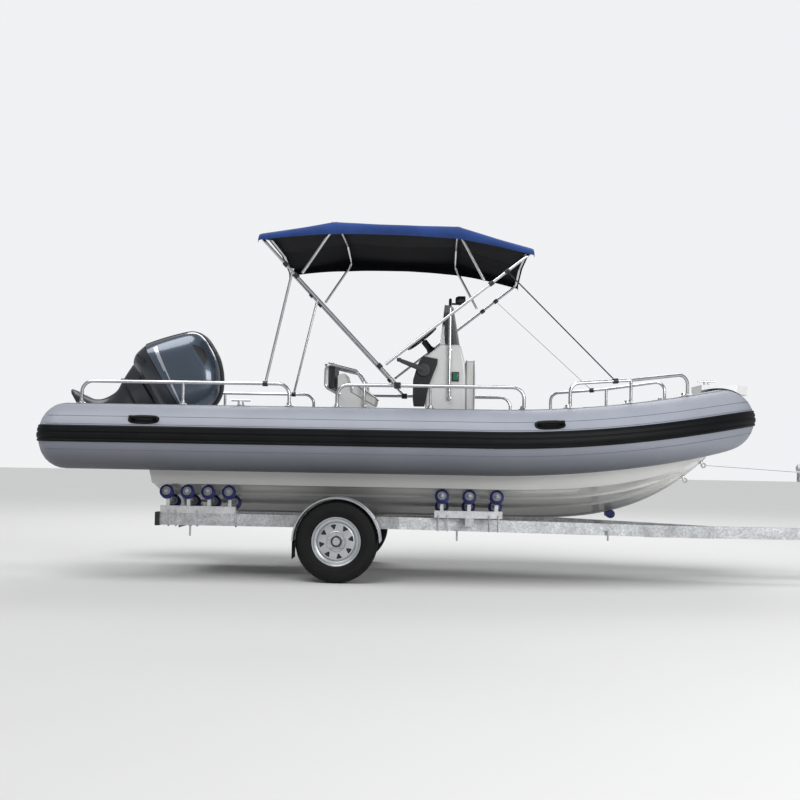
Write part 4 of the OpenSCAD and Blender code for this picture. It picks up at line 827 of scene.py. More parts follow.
def canopy_piece():
    bows = [AFT_MAIN, AFT_SECOND, FORE_SECOND, FORE_MAIN]
    over = BOW_TUBE_R + 0.014
    spans = [(b[1][0], b[1][1]) for b in bows]
    profile = sheet_profile()
    drops = (END_HEM_DROP, HEM_DROP, HEM_DROP, END_HEM_DROP)
    rows = [(spans[0][0] - over, spans[0][1] - 0.030, 0.0, END_HEM_DROP),
            (spans[0][0] - over * 0.8, spans[0][1] - 0.008, 0.0, END_HEM_DROP)]
    for (xa, za), (xb, zb), da, db in zip(spans, spans[1:], drops, drops[1:]):
        steps = max(6, round((xb - xa) / 0.045))
        for k in range(steps):
            f = k / steps
            rows.append((mix(xa, xb, f), mix(za, zb, f), 4 * f * (1 - f) * (xb - xa), mix(da, db, f)))
    rows += [(spans[-1][0], spans[-1][1], 0.0, END_HEM_DROP),
             (spans[-1][0] + over * 0.8, spans[-1][1] - 0.008, 0.0, END_HEM_DROP),
             (spans[-1][0] + over, spans[-1][1] - 0.030, 0.0, END_HEM_DROP)]
    rings = []
    for x, z, slack, drop in rows:
        ring = []
        for y, full_h in profile:
            h = full_h if full_h > 0 else full_h * drop / HEM_DROP
            flat = smoothstep((h + 0.01) / 0.05)
            sag = slack * (0.020 * flat * (1 - 0.35 * abs(y) / SHEET_Y))
            pull = slack * 0.028 * smoothstep(-(h - 0.01) / HEM_DROP)
            ripple = 0.0022 * noise.noise(Vector((x * 5.0, y * 3.0, h * 9.0))) * min(1.0, slack * 6)
            hem = 0.0016 if full_h < -HEM_DROP + 0.022 else 0.0
            yy = y - math.copysign(pull * 0.6, y) * (1 if abs(y) > SHEET_Y - 0.06 else 0)
            yy += math.copysign(hem, y) if hem else 0.0
            rise = pull * 0.55 if h < -0.03 else 0.0
            ring.append(at(x, yy, z + h + SHEET_LIFT - sag + ripple + rise))
        rings.append(ring)
    obj = mesh_object("canopy_cloth", [p for r in rings for p in r],
                      ring_faces(len(rings), len(profile), closed=False, caps=False))
    finish_piece(obj, [NAVY_CANVAS, CANVAS_UNDER], ROOT, ("canopy_sheet",), angle=0)
    modify(obj, "SOLIDIFY", thickness=0.0016, offset=-1.0, material_offset=1, material_offset_rim=0)
    seams = []
    for x, z in (spans[1], spans[2]):
        for dx in (-0.019, 0.019):
            line = [at(x + dx, y, z + h + SHEET_LIFT + 0.0006) for y, h in profile]
            seams.append(tube_part(line, 0.0011, sides=6))
    joined("canopy_seams", seams, NAVY_WEBBING, ROOT)


canopy_piece()


def pole_parts():
    parts = []
    top = Vector((mix(2.882, 1.806, (2.550 - RAIL_Z) / (CANOPY_Z - 0.140 - RAIL_Z)), 0, 2.550))
    for side in SIDES:
        a = Vector((1.814, side * TUBE_Y, RAIL_Z))
        b = Vector((top.x, side * LEG_Y, top.z))
        d = (b - a).normalized()
        parts.append(tube_part([at(*(a + 0.0243 * d)), at(*(b - 0.035 * d))], BOW_TUBE_R - 0.001))
    joined("canopy_props", parts, STAINLESS, ROOT, ("canopy_poles",))


pole_parts()


# ---- outboard engine ---------------------------------------------------------
ROUNDNESS = 0.62        # exponent of the cowl's rounded plan
# Side view of cowl and leg: height w, after end, forward end and half width at that height
COWL_LEVELS = [(0.272, -0.868, -0.092, 0.240), (0.33, -0.858, -0.088, 0.243), (0.42, -0.838, -0.090, 0.242),
               (0.53, -0.808, -0.110, 0.234), (0.61, -0.783, -0.160, 0.220), (0.67, -0.760, -0.235, 0.198),
               (0.712, -0.730, -0.310, 0.168), (0.740, -0.692, -0.385, 0.128), (0.756, -0.645, -0.450, 0.080),
               (0.762, -0.590, -0.520, 0.030)]
PAN_LEVELS = [(0.086, -0.790, -0.112, 0.110), (0.105, -0.812, -0.104, 0.150), (0.15, -0.842, -0.098, 0.205),
              (0.21, -0.858, -0.095, 0.230), (0.262, -0.866, -0.094, 0.238)]
LEG_LEVELS = [(-0.498, -0.880, -0.300, 0.064), (-0.47, -0.846, -0.285, 0.064), (-0.42, -0.765, -0.270, 0.065),
              (-0.36, -0.690, -0.250, 0.066), (-0.28, -0.660, -0.228, 0.069), (-0.17, -0.662, -0.219, 0.076),
              (-0.08, -0.712, -0.219, 0.092), (0.0, -0.752, -0.219, 0.108), (0.074, -0.786, -0.219, 0.118)]


def spread_levels(levels, steps):
    """Smooth levels between the given ones, by a Catmull-Rom curve."""
    out = []
    for i in range(len(levels) - 1):
        p = [Vector(levels[max(0, min(len(levels) - 1, i + d))]) for d in (-1, 0, 1, 2)]
        for s in range(steps):
            k = s / steps
            out.append(0.5 * ((2 * p[1]) + (p[2] - p[0]) * k + (2 * p[0] - 5 * p[1] + 4 * p[2] - p[3]) * k * k
                              + (3 * p[1] - p[0] - 3 * p[2] + p[3]) * k ** 3))
    out.append(Vector(levels[-1]))
    return out


def oval_ring(level, power=ROUNDNESS):
    """One closed ring round cowl, pan or leg."""
    w, u0, u1, half = level
    n = 64
    ring = []
    for k in range(n):
        c, s = math.cos(math.tau * k / n), math.sin(math.tau * k / n)
        ring.append(engine_point((u0 + u1) / 2 + (u1 - u0) / 2 * math.copysign(abs(c) ** power, c),
                                 half * math.copysign(abs(s) ** power, s), w))
    return ring


COWL_CURVE = spread_levels(COWL_LEVELS, 4)


def cowl_half(u, w):
    """Half width of the cowl's surface at a point of its side view."""
    for a, b in zip(COWL_CURVE, COWL_CURVE[1:]):
        if a[0] <= w <= b[0]:
            lv = a.lerp(b, (w - a[0]) / (b[0] - a[0]))
            break
    else:
        lv = COWL_CURVE[0]
    c = min(1.0, abs((u - (lv[1] + lv[2]) / 2) / ((lv[2] - lv[1]) / 2)))
    return lv[3] * (1 - c ** (2 / ROUNDNESS)) ** (ROUNDNESS / 2)


loft("cowl_shell", [oval_ring(lv) for lv in COWL_CURVE], COWL_PAINT, "outboard",
     ("engine_cowl",), angle=50)
loft("cowl_pan", [oval_ring(lv) for lv in spread_levels(PAN_LEVELS, 4)], LEG_PAINT, "outboard",
     angle=50)
loft("engine_leg", [oval_ring(lv, power=0.8) for lv in spread_levels(LEG_LEVELS, 4)], LEG_PAINT, "outboard",
     angle=60)
loft("cowl_seam_band", [oval_ring((w, -0.864, -0.097, 0.2365)) for w in (0.258, 0.276)], COWL_TRIM,
     "outboard")


PATCH_T = 0.002                     # depth to which a patch reaches under the cowl's surface
PATCH_ROWS = 7


def skins_closed(n, m):
    """Faces of a plate of two n by m grids of points, one after the other, closed round the edge."""
    half = n * m
    faces = ring_faces(n, m, closed=False, caps=False)
    faces += [tuple(half + i for i in reversed(f)) for f in faces]
    edge = ([(i * m, (i + 1) * m) for i in range(n - 1)]
            + [((i + 1) * m + m - 1, i * m + m - 1) for i in range(n - 1)]
            + [(j + 1, j) for j in range(m - 1)]
            + [((n - 1) * m + j, (n - 1) * m + j + 1) for j in range(m - 1)])
    return faces + [(a, b, half + b, half + a) for a, b in edge]


def cowl_patch(outline, lift, name, mat):
    """A patch on both sides of the cowl: its outline is given as upper and lower edges in the side view."""
    parts = []
    for side in SIDES:
        rows = []
        for upper, lower in outline:
            col = []
            for k in range(PATCH_ROWS):
                f = k / (PATCH_ROWS - 1)
                u, w = mix(upper[0], lower[0], f), mix(upper[1], lower[1], f)
                col.append((u, side * (cowl_half(u, w) + lift), w))
            rows.append(col)
        verts = [engine_point(*q) for col in rows for q in col]
        verts += [engine_point(u, v - side * (PATCH_T + lift), w) for col in rows for u, v, w in col]
        parts.append((verts, skins_closed(len(rows), PATCH_ROWS)))
    joined(name, parts, mat, "outboard", angle=40)


def stripe_edge(k, share):
    """A point of the tapering stripe, from its after end to its forward end."""
    u, w = mix(-0.785, -0.235, k), mix(0.352, 0.296, k)
    return u, w + share * mix(0.017, 0.0055, k)


cowl_patch([(stripe_edge(k / 24, 1), stripe_edge(k / 24, -1)) for k in range(25)], 0.0012, "cowl_stripe",
           SILVER_STRIPE)
cowl_patch([(stripe_edge(mix(0.42, 0.66, k / 8), -0.15),
             stripe_edge(mix(0.42, 0.66, k / 8), -0.95)) for k in range(9)],
           0.002, "cowl_stripe_accent", NAVY_STRIPE)
cowl_patch([((mix(-0.632, -0.418, k / 20), 0.643 + 0.062 * math.sin(math.pi * k / 20) ** 0.7),
             (mix(-0.632, -0.418, k / 20), 0.6425)) for k in range(21)], 0.0025, "cowl_vents", BLACK_PLASTIC)
cowl_patch([((mix(-0.668, -0.385, k / 16), 0.6415), (mix(-0.668, -0.385, k / 16), 0.6415 - 0.034 * math.sin(
    math.pi * k / 16) ** 0.6 - 0.001)) for k in range(17)], 0.004, "cowl_vent_scoops", COWL_PAINT)


def cowl_trim():
    """Dark trim that follows the cowl's after edge and crown along the middle line."""
    line = [(lv[1], lv[0]) for lv in COWL_CURVE] + [(lv[2], lv[0]) for lv in reversed(COWL_CURVE[8:])]
    half = 0.078
    rings = []
    for i, (u, w) in enumerate(line):
        a, b = line[max(0, i - 1)], line[min(len(line) - 1, i + 1)]
        t = Vector((b[0] - a[0], b[1] - a[1])).normalized()
        n = Vector((-t[1], t[0]))
        rings.append([engine_point(u + d * n[0], v, w + d * n[1]) for v, d in
                      ((-half, -0.012), (-half, 0.001), (-half * 0.85, 0.0065), (0, 0.0085),
                       (half * 0.85, 0.0065), (half, 0.001), (half, -0.012))])
    loft("cowl_spine_trim", rings, COWL_TRIM, "outboard", angle=40)


cowl_trim()


def pan_details():
    """The latch bars beside the pan's after end, and the ledge round the leg's top."""
    parts = []
    for side in SIDES:
        v = side * 0.232
        pts = [engine_point(u, v, w) for u, w in ((-0.80, 0.190), (-0.72, 0.196))]
        parts.append(tube_part(pts, 0.009, sides=12))
    joined("pan_latches", parts, BLACK_PLASTIC, "outboard")
    ring = [oval_ring((w, -0.722 - g, -0.24, 0.094 + g), power=0.8) for w, g in
            ((-0.088, 0.0), (-0.084, 0.012), (-0.072, 0.014), (-0.066, 0.002))]
    loft("leg_ledge", ring, ENGINE_DARK, "outboard", angle=30)


pan_details()
PROP_W = -0.700
PROP_U = (-0.722, -0.612)
PROP_R = 0.165


def propeller_piece():
    """Hub and three cupped, skewed blades."""
    hub = [(0.0, 0.0128), (0.0, 0.028), (0.006, 0.032), (0.05, 0.040), (0.104, 0.0425), (0.110, 0.041),
           (0.110, 0.0128)]
    axis = (engine_point(1, 0, 0) - engine_point(0, 0, 0)).normalized()
    origin = engine_point(PROP_U[0], 0, PROP_W)
    parts = [revolve_part(hub, origin, axis, 36)]
    ex = (engine_point(0, 0, 1) - engine_point(0, 0, 0)).normalized()
    ey = axis.cross(ex)
    n, m = 14, 13
    for blade in range(3):
        base = math.tau * (blade * 120 + 180) / 360
        verts = []
        for face in (1, -1):
            for i in range(n):
                f = i / (n - 1)
                r = mix(0.034, PROP_R - 0.002, f)
                chord = 1.15 * (math.sin(math.pi * min(1.0, 0.30 + 0.70 * f)) ** 0.55) * 0.064 + 0.002
                pitch = math.atan2(0.060, r)
                skew = 0.35 * f * f
                for j in range(m):
                    g = 2 * j / (m - 1) - 1
                    along_chord = g * chord
                    a = base + skew + along_chord * math.cos(pitch) / r
                    d = 0.055 + along_chord * math.sin(pitch) - 0.012 * f
                    thick = face * 0.0035 * (1 - f * 0.6) * (1 - g * g) ** 0.5
                    a += thick / r
                    verts.append(origin + (d + thick * 0.5) * axis + r
                                 * (math.cos(a) * ex + math.sin(a) * ey))
        parts.append((verts, skins_closed(n, m)))
    joined("propeller_blades", parts, PROPELLER, "propeller", ("propeller",), angle=40)


propeller_piece()


# ---- wheels ------------------------------------------------------------------
def applied(obj):
    """The object with its modifiers applied."""
    bpy.context.view_layer.update()
    graph = bpy.context.evaluated_depsgraph_get()
    mesh = bpy.data.meshes.new_from_object(obj.evaluated_get(graph))
    obj.modifiers.clear()
    obj.data = mesh
    return obj


WINDOWS = 8
WINDOW_R = (0.098, 0.137)
WINDOW_HALF = 0.023
TYRE_STEPS = 180
SHOULDER_CUT = 0.0065               # depth of the cuts in the tyre's shoulders


def wheel(side, label):
    """One road wheel: treaded tyre, windowed rim, and the hub with its cap, nuts and valve."""
    centre = at(AXLE_X, side * TRACK_Y, TYRE_R)
    out = Vector((0, side, 0))
    body = f"road_wheel_{label}"
    tyre = [(-0.0745, RIM_R + 0.0006), (-0.082, 0.206), (-0.0895, 0.226), (-0.0925, 0.252), (-0.0925, 0.266),
            (-0.0905, 0.284), (-0.086, 0.302), (-0.080, 0.3155), (-0.071, 0.3235), (-0.060, 0.3275)]
    tread = []
    for c in (-0.045, -0.015, 0.015, 0.045):
        tread += [(c - 0.0045, 0.3295), (c - 0.0035, 0.3225), (c + 0.0035, 0.3225), (c + 0.0045, 0.3295)]
    profile = tyre + tread + [(-d, r) for d, r in reversed(tyre)]
    verts, faces = turned(profile, centre, out, TYRE_STEPS)
    for i, (d, r) in enumerate(profile):
        if 0.055 < abs(d) < 0.083 and r > 0.31:
            for j in range(0, TYRE_STEPS, 3):
                p = verts[i * TYRE_STEPS + j]
                axial = centre + (p - centre).dot(out) * out
                verts[i * TYRE_STEPS + j] = axial + (p - axial) * (1 - SHOULDER_CUT / r)
    joined(f"tyre_{label}_treaded", [(verts, faces)], TYRE, body, (f"tyre_{label}",), angle=38)
    ribs = [turned([(d - 0.002, r - 0.003), (d + 0.0016, r - 0.0012), (d + 0.0016, r + 0.0012),
                    (d - 0.002, r + 0.003)], centre, out, 120)
            for r, d in ((0.236, 0.0912), (0.290, 0.0890), (0.214, 0.0862))]
    joined(f"tyre_{label}_ribs", ribs, TYRE, body)
    rim = [(-0.075, 0.186), (-0.075, RIM_R), (-0.071, 0.1965), (-0.066, 0.188), (0.066, 0.188),
           (0.071, 0.1965),
           (0.0755, RIM_R), (0.0755, 0.191), (0.072, 0.1865), (0.064, 0.181), (0.057, 0.1765),
           (0.0555, 0.168),
           (0.052, 0.1605), (0.044, 0.1565), (0.040, 0.1545), (0.040, 0.1525), (0.0455, 0.1505),
           (0.052, 0.146),
           (0.0545, 0.140), (0.0535, 0.100), (0.055, 0.084), (0.059, 0.079), (0.0585, 0.075), (0.050, 0.0715),
           (0.048, 0.045), (0.041, 0.045), (0.041, 0.070), (0.046, 0.140), (0.034, 0.150), (0.030, 0.178),
           (-0.060, 0.180)]
    base = joined(f"rim_{label}_disc", [turned(rim, centre, out, 128)], RIM, body,
                  (f"rim_{label}",), angle=32)
    cutters = []
    for k in range(WINDOWS):
        a = math.tau * (k + 0.25) / WINDOWS
        e, t = Vector((math.cos(a), 0, math.sin(a))), Vector((-math.sin(a), 0, math.cos(a)))
        lo, hi = WINDOW_R
        edge = [(lo, 0.004), (lo + 0.004, 0.0065), (hi - 0.006, WINDOW_HALF),
                (hi - 0.001, WINDOW_HALF - 0.003), (hi + 0.001, 0)]
        tri = edge + [(r, -w) for r, w in reversed(edge[:-1])]
        cv = [centre + d * out + r * e + w * t for d in (0.036, 0.075) for r, w in tri]
        cutters.append((cv, ring_faces(2, len(tri))))
    cutter = mesh_object("window_cutter", [p for v, _ in cutters for p in v],
                         [tuple(i + sum(len(cutters[q][0]) for q in range(n)) for i in face)
                          for n, (_, fs) in enumerate(cutters) for face in fs])
    modify(base, "BOOLEAN", operation="DIFFERENCE", object=cutter, solver="EXACT")
    applied(base)
    bpy.data.objects.remove(cutter)
    base.data.set_sharp_from_angle(angle=math.radians(32))
    dark = turned([(0.030, 0.02), (0.030, 0.150), (0.034, 0.150), (0.034, 0.02)], centre, out, 64)
    joined(f"rim_{label}_shade", [dark], RIM_DARK, body)
    hub = revolve_part([(0.030, 0.020), (0.046, 0.044), (0.058, 0.041), (0.060, 0.037), (0.060, 0.020)],
                       centre, out, 48)
    joined(f"hub_{label}_ring", [hub], BLACK_PLASTIC, body)
    cap = [revolve_part([(0.050, 0.002), (0.054, 0.0325), (0.069, 0.031), (0.0735, 0.026), (0.075, 0.016),
                         (0.0755, 0.002)], centre, out, 40)]
    for k in range(5):
        a = math.tau * (k + 0.25) / 5
        spot = centre + 0.0585 * Vector((math.cos(a), 0, math.sin(a)))
        cap.append(revolve_part([(0.044, 0.011), (0.051, 0.0105), (0.052, 0.0088), (0.061, 0.0085),
                                 (0.0645, 0.0055), (0.0655, 0.001)], spot, out, 6))
    cap.append(tube_part([centre + Vector((-0.158, 0, 0.012)) + 0.050 * out,
                          centre + Vector((-0.160, 0, 0.012)) + 0.074 * out], 0.0042, sides=10))
    joined(f"hub_{label}_cap", cap, RIM, body, angle=30)


wheel(-1, "starboard")
wheel(1, "port")


GUARD_R = 0.350                     # middle of the mudguards' sheet


def mudguard_lips():
    """Rolled edges and pressed ribs of the mudguards."""
    parts = []
    for side in SIDES:
        for y, radius, first, wire, sides in ((side * 0.104, GUARD_R, 0, 0.0055, 10),
                                              (-side * 0.104, GUARD_R, 0, 0.0055, 10),
                                              (-0.055, GUARD_R + 0.0005, 1, 0.0035, 8),
                                              (0.055, GUARD_R + 0.0005, 1, 0.0035, 8)):
            line = [at(AXLE_X + radius * math.cos(a), side * TRACK_Y + y, TYRE_R + radius * math.sin(a))
                    for a in (math.pi * k / 48 for k in range(first, 49 - first))]
            parts.append(tube_part(line, wire, bend=0.001, sides=sides))
    joined("mudguard_lips", parts, MUDGUARD, ROOT)


mudguard_lips()

# ---- rollers -----------------------------------------------------------------
DEAD_RISE = math.atan((CHINE_Z - KEEL_Z) / (CHINE_SHARE * (TUBE_Y - 0.133)))
ROLLER_X = [0.994 + 0.171 * i for i in range(4)] + [3.253 + 0.223 * i for i in range(3)]
ROLLER_Y = (0.470, 0.765)
SHAFT_DROP = 0.0585


def rollers():
    rings, hubs, nuts = [], [], []
    tread = [(-0.0275, 0.036), (-0.0275, 0.048), (-0.024, 0.0545), (-0.018, 0.0573), (-0.0045, 0.0573),
             (-0.0035, 0.054), (0.0035, 0.054), (0.0045, 0.0573), (0.018, 0.0573), (0.024, 0.0545),
             (0.0275, 0.048), (0.0275, 0.036)]
    hub = [(-0.026, 0.013), (-0.029, 0.020), (-0.026, 0.030), (-0.0265, 0.0365), (0.0265, 0.0365),
           (0.026, 0.030), (0.029, 0.020), (0.026, 0.013)]
    for x in ROLLER_X:
        for side in SIDES:
            axis = Vector((0, side * math.cos(DEAD_RISE), math.sin(DEAD_RISE)))
            drop = Vector((0, side * math.sin(DEAD_RISE), -math.cos(DEAD_RISE)))
            for y in ROLLER_Y:
                c = at(x, 0, KEEL_Z) + y * axis + SHAFT_DROP * drop
                rings.append(turned(tread, c, axis, 36))
                hubs.append(turned(hub, c, axis, 36))
            end = at(x, 0, KEEL_Z) + (ROLLER_Y[1] + 0.038) * axis + SHAFT_DROP * drop
            nuts.append(revolve_part([(-0.002, 0.019), (0.003, 0.019), (0.0035, 0.0155), (0.014, 0.0150)],
                                     end, axis, 6))
            nuts.append(revolve_part([(0.014, 0.0085), (0.026, 0.0080), (0.027, 0.006)], end, axis, 16))
    joined("roller_treads", rings, ROLLER_BLUE, ROOT, ("hull_rollers",), angle=30)
    joined("roller_hubs", hubs, ROLLER_HUB, ROOT, angle=30)
    joined("roller_shaft_nuts", nuts, GALVANISED, ROOT, angle=30)


rollers()


# ---- trailer fittings --------------------------------------------------------
BEAM_Y, BEAM_Z, BEAM_H, BEAM_W = 0.680, 0.420, 0.100, 0.050
U_BOLT_X = (1.000, 1.060, 1.240, 1.560, 2.240, 2.300, 3.225, 3.300, 3.640, 3.715)


def u_bolt(x, y, low, high, half):
    """A U-bolt round a beam, its legs up to a plate with nuts."""
    line = [at(x, y - half, high), at(x, y - half, low), at(x, y + half, low), at(x, y + half, high)]
    parts = [tube_part(line, 0.005, bend=0.012, sides=10)]
    for s in (-half, half):
        parts.append(revolve_part([(0, 0.0095), (0.009, 0.0095)], at(x, y + s, high - 0.016), (0, 0, 1), 6))
    return parts


def trailer_fittings():
    parts = []
    for side in SIDES:
        y = side * BEAM_Y
        for x in U_BOLT_X:
            parts += u_bolt(x, y, BEAM_Z - 0.0055, BEAM_Z + BEAM_H + 0.024, BEAM_W / 2 + 0.0055)
        for x in (1.18, 3.38, 4.66):
            parts.append(revolve_part([(0, 0.013), (0.008, 0.013), (0.008, 0.008), (0.085, 0.008),
                                       (0.087, 0.006)],
                                      at(x, y if x < 4 else side * 0.33, BEAM_Z - 0.0005), (0, 0, -1), 16))
        for x in (2.285, 2.345):
            for z in (BEAM_Z + 0.030, BEAM_Z + 0.070):
                parts.append(revolve_part([(0, 0.011), (0.009, 0.011)], at(x, y + side * (BEAM_W / 2), z),
                                          (0, side, 0), 6))
    joined("beam_u_bolts", parts, GALVANISED, ROOT, angle=30)


trailer_fittings()


# ---- helm and seats ----------------------------------------------------------
CUSHION_EDGE = 0.022                # radius of the cushions' edges
CUSHION_CUTS = 18
ROW_DEPTH, ROW_W = 0.007, 0.006     # sewn rows


def soft_box(name, corners, mat, replaces, puff, rows=(), piping=()):
    """A crowned cushion between 8 corners: [u][v][w] order; its sides pull in between the corners."""
    c = [[[Vector(corners[i][j][k]) for k in (0, 1)] for j in (0, 1)] for i in (0, 1)]

    def place(u, v, w):
        p = Vector()
        for i, fu in ((0, 1 - u), (1, u)):
            for j, fv in ((0, 1 - v), (1, v)):
                for k, fw in ((0, 1 - w), (1, w)):
                    p += fu * fv * fw * c[i][j][k]
        return p

    size = [(c[1][0][0] - c[0][0][0]).length, (c[0][1][0] - c[0][0][0]).length,
            (c[0][0][1] - c[0][0][0]).length]
    up = (c[0][0][1] - c[0][0][0]).normalized()
    work = bmesh.new()
    bmesh.ops.create_cube(work, size=1.0)
    bmesh.ops.subdivide_edges(work, edges=work.edges, cuts=CUSHION_CUTS, use_grid_fill=True)
    for vert in work.verts:
        q = [vert.co.x + 0.5, vert.co.y + 0.5, vert.co.z + 0.5]
        inner = [min(max(q[a], CUSHION_EDGE / size[a]), 1 - CUSHION_EDGE / size[a]) for a in range(3)]
        d = Vector([(q[a] - inner[a]) * size[a] for a in range(3)])
        if d.length > 1e-9:
            d = d.normalized() * min(d.length, CUSHION_EDGE)
        t = [inner[a] + d[a] / size[a] for a in range(3)]
        crown = (4 * q[0] * (1 - q[0])) ** 0.6 * (4 * q[1] * (1 - q[1])) ** 0.6
        pinch = 0.010 * (4 * q[2] * (1 - q[2]))
        for a in (0, 1):
            middle = 4 * q[1 - a] * (1 - q[1 - a])
            t[a] = mix(t[a], 0.5, 2 * pinch * middle * abs(2 * q[a] - 1) / max(size[a], 0.05))
        lift = puff * crown * smoothstep((q[2] - 0.5) * 2)
        for axis, spot in rows:
            gap = abs(q[axis] - spot) * size[axis]
            lift -= ROW_DEPTH * math.exp(-(gap / ROW_W) ** 2) * smoothstep((q[2] - 0.5) * 2)
        vert.co = place(*t) + lift * up
    mesh = bpy.data.meshes.new(name)
    work.to_mesh(mesh)
    work.free()
    obj = bpy.data.objects.new(name, mesh)
    bpy.context.collection.objects.link(obj)
    finish_piece(obj, mat, ROOT, replaces, angle=0)
    if piping:
        parts = []
        for level in piping:
            line = [place(*q) + 0.001 * up for q in
                    [(0.03, 0, level), (0.97, 0, level), (1, 0.03, level), (1, 0.97, level), (0.97, 1, level),
                     (0.03, 1, level), (0, 0.97, level), (0, 0.03, level), (0.03, 0, level)]]
            parts.append(tube_part(line, 0.0035, bend=0.010, sides=8))
        joined(name + "_piping", parts, GREY_VINYL, ROOT)


def corners_between(x, y, z):
    return [[[at(x[i], y[j], z[k]) for k in (0, 1)] for j in (0, 1)] for i in (0, 1)]


SEAT_Y = 0.240
soft_box("console_seat_cushion", corners_between((3.532, 3.850), (-0.31, 0.31), (1.3405, 1.415)), VINYL,
         ("console_seat",), 0.018, rows=((0, 0.5), (1, 0.333), (1, 0.667)), piping=(0.06, 0.94))
back_pad = [[[at(x, y, z) for x in (3.4405, 3.515)] for y in (-0.30, 0.30)] for z in (1.350, 1.845)]
soft_box("console_seat_back", back_pad, VINYL, (), 0.015, rows=((0, 0.33), (0, 0.66)),
         piping=(0.06, 0.94))
seat_pad = [[[at(x, y, z) for x, z in ((xb, zb), (xt, zt))] for y in (-SEAT_Y + 0.02, SEAT_Y - 0.02)]
            for xb, zb, xt, zt in ((2.452, 1.5605, 2.492, 1.635), (2.660, 1.4425, 2.674, 1.512))]
soft_box("helm_seat_pad", seat_pad, VINYL, ("helm_seat_cushion",), 0.012,
         rows=((1, 0.33), (1, 0.66)), piping=(0.94,))
rest_pad = [[[at(x, y, z) for x in (2.312, 2.2525)] for y in (-SEAT_Y + 0.012,
                                                              SEAT_Y - 0.012)] for z in (1.585, 1.815)]
soft_box("helm_backrest_pad", rest_pad, DARK_VINYL, ("helm_backrest",), 0.008,
         rows=((1, 0.2), (1, 0.35), (1, 0.5), (1, 0.65), (1, 0.8)), piping=(0.9,))


def bevelled(obj, width):
    modify(obj, "BEVEL", width=width, segments=3, limit_method="ANGLE", angle_limit=math.radians(28))


HELM_TILT = math.radians(38.8)
FACE_X = (3.096, 3.225)             # the helm face's lower and upper edge
HELM_FACE_Z = CONSOLE_TOP - (FACE_X[1] - FACE_X[0]) * math.tan(HELM_TILT)
FACE_MID = at(sum(FACE_X) / 2, 0, (HELM_FACE_Z + CONSOLE_TOP) / 2)
FACE_NORMAL = Vector((-math.sin(HELM_TILT), 0, math.cos(HELM_TILT)))
console_side = [(3.116, DECK_TOP), (3.096, 1.5), (3.096, HELM_FACE_Z), (3.225, CONSOLE_TOP),
                (3.392, CONSOLE_TOP), (3.432, 1.82), (3.44, 1.7), (3.44, DECK_TOP)]
bevelled(joined("console_moulding", [prism_part(console_side, -CONSOLE_Y, CONSOLE_Y)], GELCOAT_TOP, ROOT,
                ("console",)), 0.018)
bevelled(joined("console_seat_box", [box_part(3.439, 3.85, -0.32, 0.32, DECK_TOP, 1.34)], GELCOAT_TOP, ROOT), 0.012)


def console_details():
    """Gauges and a row of switches on the helm face."""
    dark = []
    slope = Vector((math.cos(HELM_TILT), 0, math.sin(HELM_TILT)))
    for y in (-0.26, -0.15, 0.13, 0.21):
        r = 0.042 if abs(y) > 0.2 else 0.03
        dark.append(revolve_part([(0, r + 0.004), (0.004, r + 0.004), (0.006, r), (0.006, 0.001)],
                                 FACE_MID + Vector((0, y, 0)), FACE_NORMAL, 32))
    for k in range(6):
        c = FACE_MID + Vector((0, 0.06 + 0.03 * k, 0)) - 0.055 * slope
        dark.append(revolve_part([(0, 0.008), (0.006, 0.008), (0.012, 0.006)], c, FACE_NORMAL, 12))
    joined("helm_gauges", dark, BLACK_PLASTIC, ROOT, angle=30)


console_details()


def helm_control_pieces():
    """The steering column, and the side-mounted throttle: panel, hub and lever."""
    column = revolve_part([(0.0005, 0.060), (0.008, 0.060), (0.012, 0.056), (0.013, 0.045), (0.058, 0.031),
                           (0.064, 0.028),
                           (0.136, 0.028), (0.140, 0.024), (0.141, 0.0099), (0.190, 0.0099), (0.192, 0.008)],
                          FACE_MID, FACE_NORMAL, 40)
    y = -CONSOLE_Y
    panel = prism_part([(3.092, 1.440), (3.000, 1.440), (2.992, 1.500), (2.992, 1.665), (3.030, 1.800),
                        (3.072, 1.872),
                        (3.201, 1.848), (3.196, 1.800), (3.131, 1.629)], y - 0.0005, y - 0.030)
    bevelled(joined("helm_side_panel", [panel], BLACK_PLASTIC, ROOT, ("helm_controls",)),
             0.006)
    joined("helm_column", [column], BLACK_PLASTIC, ROOT, angle=35)
    hub = at(3.082, y - 0.0300, 1.754)
    disc = revolve_part([(0, 0.058), (0.014, 0.058), (0.020, 0.053), (0.021, 0.030), (0.026, 0.028),
                         (0.026, 0.001)],
                        hub, (0, -1, 0), 40)
    tip = at(2.872, y - 0.052, 1.832)
    rings = []
    for k in range(9):
        f = k / 8
        centre = hub + Vector((0, -0.022, 0)) + f * (tip - hub - Vector((0, -0.022, 0)))
        along = (tip - hub).normalized()
        flat = along.cross(Vector((0, 1, 0))).normalized()
        wide = mix(0.024, 0.017, f) * (0.75 if k in (0, 8) else 1.0)
        rings.append([centre + wide * math.copysign(abs(math.sin(a)) ** 0.7, math.sin(a)) * flat
                      + 0.010 * math.copysign(abs(math.cos(a)) ** 0.7, math.cos(a)) * Vector((0, 1, 0))
                      for a in (math.tau * j / 20 for j in range(20))])
    lever = ([q for r in rings for q in r], ring_faces(9, 20))
    joined("throttle_lever", [disc, lever], LEVER_GREY, ROOT, angle=40)
    bevelled(joined("throttle_knob", [box_part(2.852, 2.892, y - 0.080, y - 0.024, 1.818, 1.850)], LEVER_GREY,
                    ROOT), 0.010)


helm_control_pieces()


